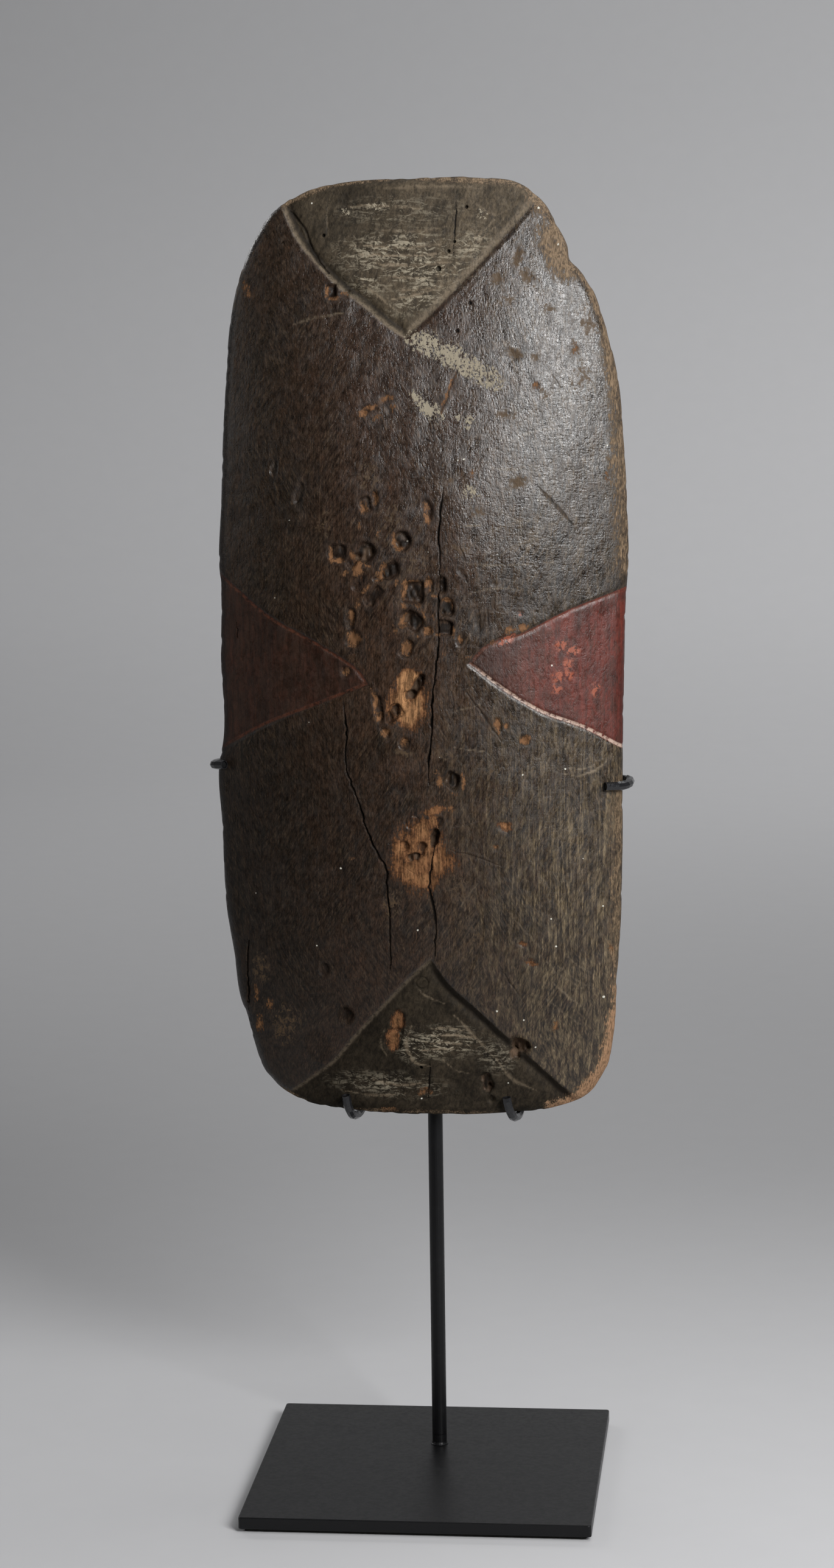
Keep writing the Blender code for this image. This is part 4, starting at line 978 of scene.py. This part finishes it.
class Paint:
    """A material, with short calls for the nodes that feed its shader."""

    def __init__(self, name):
        self.material = bpy.data.materials.new(name)
        self.material.use_nodes = True
        self.tree = self.material.node_tree
        self.shader = self.tree.nodes["Principled BSDF"]
        self.place = self.tree.nodes.new("ShaderNodeTexCoord").outputs["Object"]

    def put(self, socket, value):
        if isinstance(value, bpy.types.NodeSocket):
            self.tree.links.new(value, socket)
        elif socket.type == "RGBA" and len(value) == 3:
            socket.default_value = (*value, 1)
        else:
            socket.default_value = value

    def math(self, operation, *values):
        made = self.tree.nodes.new("ShaderNodeMath")
        made.operation = operation
        for socket, value in zip(made.inputs, values):
            self.put(socket, value)
        return made.outputs[0]

    def size(self, value):
        return self.math("ABSOLUTE", value)

    def folded(self, operation, values):
        return reduce(lambda a, b: self.math(operation, a, b), values)

    def add(self, *values):
        return self.folded("ADD", values)

    def times(self, *values):
        return self.folded("MULTIPLY", values)

    def most(self, *values):
        return self.folded("MAXIMUM", values)

    def least(self, *values):
        return self.folded("MINIMUM", values)

    def sway(self, noise, amount):
        """The noise taken about its middle, times an amount."""
        return self.times(self.add(noise, -0.5), amount)

    def blend(self, factor, a, b):
        return self.add(a, self.times(factor, self.math("SUBTRACT", b, a)))

    def field(self, name):
        made = self.tree.nodes.new("ShaderNodeAttribute")
        made.attribute_name = name
        return made.outputs["Fac"]

    def step(self, value, low, high, start=0.0, end=1.0):
        """Runs smoothly from start to end as the value runs from low to high."""
        made = self.tree.nodes.new("ShaderNodeMapRange")
        made.interpolation_type = "SMOOTHSTEP"
        for socket, number in zip(made.inputs, (value, low, high, start, end)):
            self.put(socket, number)
        return made.outputs[0]

    def noise(self, size, detail, roughness, distortion=0.0, turn=(0, 0, 0), shift=(0, 0, 0)):
        """Noise that repeats at about this size in mm, turned in degrees and shifted."""
        place = self.tree.nodes.new("ShaderNodeMapping")
        place.vector_type = "TEXTURE"
        self.put(place.inputs["Vector"], self.place)
        place.inputs["Location"].default_value = shift
        place.inputs["Rotation"].default_value = [math.radians(angle) for angle in turn]
        place.inputs["Scale"].default_value = [value * MM for value in size]
        made = self.tree.nodes.new("ShaderNodeTexNoise")
        self.put(made.inputs["Vector"], place.outputs[0])
        settings = {"Scale": 1, "Detail": detail, "Roughness": roughness, "Distortion": distortion}
        for name, value in settings.items():
            made.inputs[name].default_value = value
        return made.outputs["Fac"]

    def axis(self, index):
        made = self.tree.nodes.new("ShaderNodeSeparateXYZ")
        self.put(made.inputs[0], self.place)
        return made.outputs[index]

    def mix(self, factor, a, b):
        made = self.tree.nodes.new("ShaderNodeMix")
        made.data_type = "RGBA"
        for socket, value in (("Factor", factor), (6, a), (7, b)):
            self.put(made.inputs[socket], value)
        return made.outputs[2]

    def lay(self, colour, over, *factors):
        """The colour with another laid over it, as strongly as the factors multiply to."""
        return self.mix(self.times(*factors), colour, over)

    def scaled(self, colour, factor):
        """The colour made lighter or darker by a factor."""
        made = self.tree.nodes.new("ShaderNodeVectorMath")
        made.operation = "SCALE"
        self.put(made.inputs[0], colour)
        self.put(made.inputs["Scale"], factor)
        return made.outputs[0]

    def shade(self, colour, *steps):
        """The colour made lighter or darker along each of the steps."""
        for given in steps:
            colour = self.scaled(colour, self.step(*given))
        return colour

    def bump(self, height, distance, normal=None):
        made = self.tree.nodes.new("ShaderNodeBump")
        made.inputs["Strength"].default_value = 1
        made.inputs["Distance"].default_value = distance * MM
        self.put(made.inputs["Height"], height)
        if normal is not None:
            self.put(made.inputs["Normal"], normal)
        return made.outputs[0]

    def finish(self, colour, roughness, normal=None, specular=0.5):
        self.put(self.shader.inputs["Base Color"], colour)
        self.put(self.shader.inputs["Roughness"], roughness)
        self.put(self.shader.inputs["Specular IOR Level"], specular)
        if normal is not None:
            self.put(self.shader.inputs["Normal"], normal)
        return self.material


def wood_paint():
    p = Paint("old dark wood")
    face, front = p.field("face"), p.field("front")
    x, z = p.axis(0), p.axis(2)
    broad = p.noise((55, 60, 110), 3, 0.6)
    patchy = p.noise((26, 26, 44), 4, 0.62, 0.5, shift=(0.2, 0, 0.4))
    mottled = p.noise((9, 9, 17), 4, 0.65, 0.5, shift=(0.3, 0, 0))
    fibre = p.noise((0.9, 1.1, 15), 3, 0.6, 0.15)
    fine_fibre = p.noise((0.45, 0.6, 5), 2, 0.6)
    grain = p.noise((2.4, 3, 60), 4, 0.65, 0.3, shift=(0.1, 0, 0.2))
    crumbs = p.noise((1.5, 1.5, 1.8), 3, 0.65, shift=(0.5, 0.1, 0))
    flakes = p.noise((2.6, 2.6, 3.6), 3, 0.72, 0.5, shift=(0.1, 0.3, 0.8))
    flecks = p.noise((1.2, 1.2, 3.2), 4, 0.7, 0.4, shift=(0.8, 0, 0.2))
    blotches = p.noise((6, 6, 15), 4, 0.72, 0.7, shift=(0.6, 0.1, 0.3))
    dimples = p.noise((3.4, 3.4, 4.4), 4, 0.72, 0.7, shift=(0.4, 0.6, 0.1))
    fine_grain = p.noise((2.1, 2, 26), 4, 0.74, 0.5, shift=(0.5, 0, 0.5))
    slant = p.noise((1.7, 2, 11), 3, 0.7, 0.3, turn=(0, 24, 0), shift=(0.3, 0, 0.2))
    streaks = p.noise((1.3, 2, 46), 4, 0.66, 0.2, shift=(0.4, 0, 0.9))
    splinters = p.noise((0.8, 1, 4.5), 3, 0.65, 0.3, shift=(0.2, 0, 0.6))
    rough_spots = p.noise((6, 6, 9), 4, 0.65, 0.6, shift=(0, 0, 0.7))
    # Folds like old leather's, leaning one way or the other
    lean = p.step(p.noise((50, 50, 60), 2, 0.5, shift=(0.6, 0, 0.1)), 0.42, 0.58)
    rising = p.noise((1.25, 1.7, 8.5), 3, 0.62, 0.45, turn=(0, 30, 0))
    falling = p.noise((1.25, 1.7, 8.5), 3, 0.62, 0.45, turn=(0, -26, 0), shift=(0.4, 0, 0))
    folds = p.blend(lean, rising, falling)
    weave = p.add(
        p.times(p.noise((5, 3, 1.3), 3, 0.6, 0.6, turn=(0, 6, 0), shift=(0.9, 0, 0.3)), 0.5),
        p.times(p.noise((1.3, 3, 4.5), 3, 0.6, 0.6, turn=(0, -5, 0), shift=(0.3, 0, 0.9)), 0.5),
    )

    right = p.step(x, -0.02, 0.10)
    low = p.step(z, 0.62, 0.40)
    in_middle = p.step(p.size(x), 0.10, 0.02)

    # The painted, handled face: near black on the left, purplish brown in the middle
    brown = p.add(
        p.step(patchy, 0.34, 0.66, 0, 0.35),
        p.step(fine_grain, 0.36, 0.62, 0, 0.35),
        p.step(blotches, 0.40, 0.62, 0, 0.40),
    )
    colour = p.lay(BLACK_WOOD, BROWN_WOOD, brown, p.add(0.40, p.times(in_middle, 0.60)))
    colour = p.lay(colour, PURPLE_WOOD, in_middle, p.step(z, 0.50, 0.70, 0.15, 0.5))
    ridges = p.times(p.step(folds, 0.50, 0.68), p.step(patchy, 0.68, 0.36))
    colour = p.lay(colour, WORN_WOOD, ridges, p.step(x, 0.13, -0.13, 0.8, 0.45))
    streak = p.step(p.add(p.times(fine_grain, 0.75), p.times(slant, 0.25)), 0.42, 0.64)
    streak = p.times(streak, p.step(blotches, 0.30, 0.60, 0.45, 1.15))
    colour = p.lay(colour, OLIVE_WOOD, p.times(right, p.add(0.30, p.times(low, 0.70))), streak)
    worn = p.times(p.step(rough_spots, 0.55, 0.72), p.step(fibre, 0.45, 0.62))
    colour = p.lay(colour, WORN_WOOD, worn, 0.45)
    colour = p.shade(
        colour, (fine_fibre, 0.30, 0.64, 0.60, 1.32), (fibre, 0.32, 0.60, 0.74, 1.18),
        (folds, 0.30, 0.56, 0.50, 1.10),
    )
    drawn = p.times(right, low, 0.7)
    fleck_shade = p.step(flecks, 0.34, 0.50, 0.58, 1.03)
    dimple_shade = p.step(dimples, 0.32, 0.60, 0.76, 1.17)
    colour = p.scaled(colour, p.blend(drawn, fleck_shade, p.step(streaks, 0.36, 0.60, 0.62, 1.45)))
    colour = p.scaled(colour, p.blend(drawn, dimple_shade, 1.0))
    lower_right = p.times(p.step(x, 0.0, 0.05), p.step(z, 0.66, 0.60))
    colour = p.scaled(colour, p.add(1, p.times(lower_right, -0.14)))
    ginger = p.times(p.step(flecks, 0.60, 0.72), p.step(patchy, 0.42, 0.60))
    colour = p.lay(colour, GINGER_WOOD, ginger, p.add(0.25, p.times(in_middle, 0.45)))
    lower_left = p.times(p.step(x, 0.05, -0.04), low)
    colour = p.scaled(colour, p.add(1, p.times(lower_left, -0.35)))
    far_right = p.times(p.step(x, 0.06, 0.10), p.step(z, 0.62, 0.52))
    colour = p.scaled(colour, p.add(1, p.times(far_right, 0.20)))

    stain = p.add(p.field("stain"), p.sway(flakes, 3.2))
    stain = p.times(p.step(stain, 0.25, 0.95), p.step(p.field("stain"), 0.02, 0.3))
    colour = p.lay(colour, STAIN_BROWN, stain, 0.8)

    # The sunk end panels, duller and greyer
    in_panel = p.step(p.add(p.field("panel"), p.sway(crumbs, 2)), -0.6, 0.9)
    panel_colour = p.mix(p.step(patchy, 0.3, 0.7), PANEL_DARK, PANEL_LIGHT)
    panel_colour = p.mix(p.step(mottled, 0.42, 0.62, 0, 0.55), panel_colour, PANEL_LIGHT)
    panel_colour = p.mix(p.step(grain, 0.5, 0.7, 0, 0.45), panel_colour, PANEL_DARK)
    # Painted light and shade: the panels are lighter at the top end, which faces the light, and
    # darker at the bottom end and towards the left
    panel_colour = p.shade(
        panel_colour, (flakes, 0.32, 0.64, 0.62, 1.30), (slant, 0.34, 0.62, 0.75, 1.15),
        (z, 0.25, 0.75, 0.335, 0.82), (x, -0.05, 0.02, 0.58, 1.0),
    )
    colour = p.mix(in_panel, colour, panel_colour)

    # Chalky lines scraped across the panels
    rows = p.noise((14, 3, 2.5), 4, 0.65, 0.6, turn=(0, 4, 0))
    scratch = p.noise((7, 2, 1.7), 3, 0.65, 0.3, turn=(0, -22, 0), shift=(0.2, 0, 0.5))
    across = p.noise((6, 2, 1.7), 3, 0.65, 0.4, turn=(0, 38, 0), shift=(0.7, 0, 0.1))
    strokes = p.most(
        p.times(p.step(rows, 0.50, 0.60), p.step(flakes, 0.38, 0.56)),
        p.step(scratch, 0.58, 0.66, 0, 0.9),
        p.step(across, 0.59, 0.67, 0, 0.8),
    )
    chalk = p.times(p.field("chalk"), strokes)
    colour = p.mix(p.least(p.times(chalk, 0.75), 0.85), colour, CREAM_PAINT)

    # Dust with a painted highlight on the walls and slopes of the deep lines that face the light;
    # painted shade at their bottoms and on their walls in shadow
    colour = p.lay(colour, DUST_AND_HIGHLIGHT, p.field("dust_and_highlight"), p.step(flakes, 0.34, 0.56, 0.35, 1.15))
    painted_groove_shade = p.times(p.field("dark"), p.step(mottled, 0.25, 0.55, 0.55, 1.05))
    colour = p.mix(p.least(painted_groove_shade, 0.9), colour, BLACK_WOOD)

    # Pale paint left in the grain
    worn_off = p.add(p.sway(flakes, 4), p.sway(folds, 3), p.sway(crumbs, 6.5))
    cream = p.step(p.add(p.field("cream"), worn_off), 0.75, 1.35)
    cream = p.times(cream, p.step(p.field("cream"), 0.05, 0.45))
    colour = p.lay(colour, CREAM_PAINT, cream, 0.84)
    pale = p.times(p.field("pale"), p.step(flakes, 0.36, 0.56, 0.25, 1.15))
    colour = p.mix(p.least(p.times(pale, 0.8), 0.7), colour, WORN_LINE)

    # Red triangles and their scored borders
    red = p.field("red")
    in_red = p.times(p.step(p.add(red, p.sway(crumbs, 1.2)), -0.5, 0.4), front)
    red_side = p.step(x, -0.02, 0.06)
    # Painted light and shade: the red is darker to the left, turned from the light, and lightest
    # about 75 mm right of the middle
    red_colour = p.mix(p.step(x, 0.02, 0.12), RED_SHADED, RED_LIT)
    red_colour = p.mix(p.step(blotches, 0.44, 0.62, 0, 0.6), red_colour, RED_BROWN)
    red_colour = p.shade(
        red_colour, (patchy, 0.3, 0.7, 0.8, 1.25), (fine_grain, 0.34, 0.62, 0.72, 1.18),
        (dimples, 0.34, 0.60, 0.75, 1.15), (p.size(p.add(x, -0.075)), 0.05, 0.0, 1.0, 1.35),
    )
    colour = p.mix(in_red, colour, red_colour)
    flake = p.times(p.field("flake"), p.step(flakes, 0.46, 0.56))
    colour = p.mix(p.least(flake, 0.8), colour, RED_FLAKE)
    border = p.step(p.size(p.add(red, -1.2)), 1.45, 0.5)
    border = p.times(border, p.step(p.noise((3, 3, 3), 4, 0.7, shift=(0, 0.2, 0)), 0.38, 0.56))
    # Painted highlight: the right triangle's lower border, which faces up toward the light, is laid
    # pale pink
    lit_lower_border = p.times(p.step(z, 0.562, 0.548), red_side)
    strength = p.most(p.add(0.26, p.times(lit_lower_border, 0.64)), p.times(red_side, 0.4))
    colour = p.lay(colour, p.mix(lit_lower_border, ORANGE_EDGE, PINK_HIGHLIGHT_EDGE), border, strength)

    # Bare wood: chips, knots, the worn and broken rim
    broken = p.add(p.step(crumbs, 0.36, 0.62, 0, 0.45), p.step(splinters, 0.38, 0.60, 0, 0.55))
    chip = p.sway(p.add(p.times(flakes, 0.6), p.times(broken, 0.4)), 1.9)
    chip = p.times(p.add(p.field("chip"), chip), p.step(p.field("chip"), 0.03, 0.3))
    raw = p.step(chip, 0.12, 0.60)
    colour = p.lay(colour, p.mix(p.step(chip, 0.30, 1.05), RAW_DARK, RAW_WOOD), raw, 0.88)
    bare = p.add(p.field("bare"), p.sway(broken, 0.55))
    bare_colour = p.mix(p.step(bare, 0.25, 0.75), KNOT_DARK, KNOT_BROWN)
    raw_knot = p.times(p.step(bare, 0.65, 1.25), p.step(z, 0.47, 0.50, 0.45, 1.0))
    bare_colour = p.mix(raw_knot, bare_colour, KNOT_WOOD)
    bare_colour = p.shade(
        bare_colour, (fine_grain, 0.36, 0.60, 0.42, 1.35), (flakes, 0.34, 0.60, 0.70, 1.25)
    )
    bare = p.step(bare, 0.10, 0.55)
    colour = p.lay(colour, bare_colour, bare, p.step(p.field("bare"), 0.02, 0.15))
    ragged = p.add(flakes, p.times(mottled, 0.9), p.times(splinters, 0.9))
    torn = p.add(p.field("wear"), p.times(p.add(ragged, -1.4), 1.7))
    torn = p.times(torn, p.step(p.field("wear"), 0.02, 0.3))
    rim_colour = p.mix(p.step(torn, 0.3, 1.1), WORN_WOOD, RIM_WOOD)
    fresh = p.times(p.step(z, 0.36, 0.33), p.step(x, 0.05, 0.08))
    rim_colour = p.lay(rim_colour, FRESH_WOOD, fresh, p.step(torn, 0.4, 1.0))
    rim_colour = p.shade(rim_colour, (splinters, 0.35, 0.62, 0.55, 1.25))
    torn = p.times(p.step(torn, 0.05, 0.85), front)
    colour = p.lay(colour, rim_colour, torn, 0.8)

    # Painted shade: dark in the pits, holes, cracks and scored lines
    for name, start, end, strength in (
        ("dent", 0.35, 1.1, 0.78), ("crack", 0.05, 0.5, 0.96), ("score", 0.2, 1.0, 0.7)
    ):
        colour = p.mix(p.step(p.field(name), start, end, 0, strength), colour, PAINTED_CRACK_SHADE)
    colour = p.mix(p.step(p.field("speck"), 0.4, 0.7), colour, SPECK_WHITE)

    # The back: browner and plainer
    streaky = p.add(p.times(grain, 0.6), p.times(broad, 0.5))
    back_colour = p.mix(p.step(streaky, 0.42, 0.68), BACK_DARK, BACK_WOOD)
    back_colour = p.shade(back_colour, (fine_fibre, 0.3, 0.65, 0.8, 1.15))
    colour = p.mix(front, back_colour, colour)

    # Polished by handling, except where it is chalky, raw or cut
    roughness = p.add(
        0.16,
        p.step(mottled, 0.44, 0.64, 0, 0.12),
        p.step(rough_spots, 0.48, 0.68, 0, 0.14),
        p.step(dimples, 0.40, 0.60, 0, 0.12),
        p.times(p.most(low, p.step(x, 0.118, 0.130)), 0.12),
    )
    dull = p.most(
        p.times(in_panel, 0.9), raw, bare, torn, p.least(cream, 1), p.times(p.field("cut"), 0.75),
        p.field("dust_and_highlight"), p.times(stain, 0.8), p.times(in_red, 0.3), p.step(face, 0.6, 0.2),
        p.step(p.field("crack"), 0, 0.25, 0, 1.2),
    )
    roughness = p.least(p.add(roughness, p.times(dull, 0.42)), 0.92)

    lively = p.times(p.step(z, 0.58, 0.68), p.step(x, 0.0, 0.05))
    height = p.add(
        p.times(folds, 0.50),
        p.times(weave, p.add(0.40, p.times(lively, 1.3))),
        p.times(dimples, p.add(0.35, p.times(lively, 0.8))),
    )
    height = p.add(
        p.times(height, p.step(in_red, 0, 1, 1.0, 0.8)),
        p.add(p.times(fibre, 0.35), p.times(fine_fibre, 0.20)),
        p.add(p.times(p.least(cream, 1), 0.25), p.times(chalk, 0.15)),
    )
    normal = p.bump(rough_spots, 0.4, p.bump(height, 0.36))
    shine = p.times(
        p.step(dull, 0.1, 1.1, 0.66, 0.14), p.step(x, -0.04, 0.045, 0.60, 1.0),
        p.step(z, 0.58, 0.72, 0.78, 1.45),
    )
    return p.finish(colour, roughness, normal, shine)


def steel_paint():
    p = Paint("satin black steel")
    soft = p.noise((3, 3, 3), 3, 0.6)
    grit = p.noise((0.35, 0.35, 0.35), 2, 0.5)
    scuffs = p.noise((18, 18, 4), 5, 0.7, 0.3)
    colour = p.mix(p.step(scuffs, 0.55, 0.75), (0.0040, 0.0040, 0.0045), (0.0085, 0.0085, 0.0090))
    roughness = p.add(p.step(soft, 0.3, 0.7, 0.33, 0.42), p.times(p.step(scuffs, 0.5, 0.7), 0.05))
    return p.finish(colour, roughness, p.bump(grit, 0.02), 0.28)


def pad_paint():
    p = Paint("dark pad")
    cells = p.noise((0.7, 0.7, 0.7), 3, 0.7)
    colour = p.mix(cells, (0.006, 0.006, 0.005), (0.022, 0.022, 0.018))
    return p.finish(colour, p.step(cells, 0.3, 0.7, 0.78, 0.95), p.bump(cells, 0.12), 0.3)


def sleeve_paint():
    p = Paint("shiny black sleeve")
    ripple = p.noise((1.6, 1.6, 1.6), 3, 0.6)
    colour = p.mix(ripple, (0.008, 0.008, 0.009), (0.018, 0.018, 0.020))
    return p.finish(colour, p.step(ripple, 0.3, 0.7, 0.12, 0.24), p.bump(ripple, 0.06), 0.45)


def dress(mesh, paint):
    mesh.materials.clear()
    mesh.materials.append(paint)


def placed(name, data):
    made = bpy.data.objects.new(name, data)
    bpy.context.scene.collection.objects.link(made)
    return made


def make_shield():
    shield = placed("shield_carved", shield_mesh())
    grip = placed("grip_shape", grip_mesh())
    union = shield.modifiers.new("grip", "BOOLEAN")
    union.operation = "UNION"
    union.solver = "MANIFOLD"
    union.object = grip
    graph = bpy.context.evaluated_depsgraph_get()
    whole = bpy.data.meshes.new_from_object(shield.evaluated_get(graph))
    bpy.data.objects.remove(grip)
    bpy.data.objects.remove(shield)
    builder = bmesh.new()
    builder.from_mesh(whole)
    bmesh.ops.triangulate(builder, faces=builder.faces)
    builder.to_mesh(whole)
    builder.free()
    mark(whole)
    whole.name = "shield_carved"
    dress(whole, wood_paint())
    whole.shade_smooth()
    made = placed("shield_carved", whole)
    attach(made, "root")
    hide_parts("shield")


def make_stage():
    """A pale bowl that is floor and backdrop at once, seamless from every side."""
    profile = [(radius, 0.0) for radius in (0.7, 1.4, 2.3, STAGE_FLOOR)]
    for angle in np.radians(range(6, 91, 6)):
        out, up = STAGE_COVE * math.sin(angle), STAGE_COVE * (1 - math.cos(angle))
        profile.append((STAGE_FLOOR + out, up))
    profile += STAGE_WALL
    builder = bmesh.new()
    turns = [(math.cos(angle), math.sin(angle)) for angle in circle(STAGE_SIDES)]
    rings = [
        [builder.verts.new((radius * x, radius * y, height)) for x, y in turns]
        for radius, height in profile
    ]
    centre = builder.verts.new((0, 0, 0))
    for i in range(STAGE_SIDES):
        builder.faces.new((centre, rings[0][i], rings[0][(i + 1) % STAGE_SIDES]))
    loft(builder, rings)
    mesh = mesh_of(builder, "studio")
    mesh.shade_smooth()
    bowl = placed("studio", mesh)
    p = Paint("pale paper")
    y, z = p.axis(1), p.axis(2)
    colour = p.mix(p.noise((30, 30, 30), 3, 0.5), (0.455, 0.455, 0.464), (0.47, 0.47, 0.479))
    # Painted shade: darker higher up the wall, and a little darker at floor level than in the cove
    colour = p.shade(colour, (z, 0.2, 1.4, 1.0, 0.78), (z, 0.0, 0.2, 0.94, 1.0))
    # Painted shade: darker well in front, most of all higher up, so that the plate's edge reflects
    # little; a painted pool of light, lighter up to the stand
    shaded = p.times(p.step(y, -0.25, -0.75), p.step(z, 0.1, 1.5, 0.88, 0.3))
    colour = p.scaled(colour, p.times(p.add(1, p.times(shaded, -1)), p.step(y, 0.9, 0.1, 1.0, 1.4)))
    mesh.materials.append(p.finish(colour, 0.75, None, 0.3))


def make_lights():
    for name, place, aim, width, height, power in LIGHTS:
        data = bpy.data.lights.new(name, "AREA")
        data.shape = "RECTANGLE"
        data.size = width
        data.size_y = height
        data.energy = power
        light = placed(name, data)
        way = Vector(aim) - Vector(place)
        turn = way.to_track_quat("-Z", "Y").to_matrix().to_4x4()
        light.matrix_world = Matrix.Translation(place) @ turn
        light.visible_camera = False
    world = bpy.data.worlds.new("studio")
    bpy.context.scene.world = world
    world.use_nodes = True
    sky = world.node_tree.nodes["Background"]
    sky.inputs["Color"].default_value = (1, 1, 1, 1)
    sky.inputs["Strength"].default_value = WORLD_STRENGTH


def make_camera():
    yaw, pitch, roll = (math.radians(v) for v in (CAMERA_YAW, CAMERA_PITCH, CAMERA_ROLL))
    level = math.cos(pitch)
    ahead = Vector((math.sin(yaw) * level, math.cos(yaw) * level, -math.sin(pitch)))
    right = Vector((math.cos(yaw), -math.sin(yaw), 0))
    up = right.cross(ahead)
    right, up = (
        right * math.cos(roll) + up * math.sin(roll),
        up * math.cos(roll) - right * math.sin(roll),
    )
    data = bpy.data.cameras.new("camera")
    data.lens = CAMERA_LENS
    data.sensor_fit = "AUTO"
    data.sensor_width = 36
    camera = placed("camera", data)
    rows = Matrix((right, up, -ahead)).transposed().to_4x4()
    camera.matrix_world = Matrix.Translation(CAMERA_PLACE) @ rows
    bpy.context.scene.camera = camera


def main():
    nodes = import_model()["nodes"]
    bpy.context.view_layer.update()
    make_camera()
    make_shield()
    for paint, names in (
        (steel_paint(), "base_plate post post_socket side_arm lower_arm"),
        (pad_paint(), "base_pad"),
        (sleeve_paint(), "sleeve_left sleeve_right sleeve_lower_left sleeve_lower_right"),
    ):
        for name in names.split():
            dress(nodes[name].data, paint)
    make_stage()
    make_lights()
    bpy.context.scene.view_settings.view_transform = "Standard"


main()
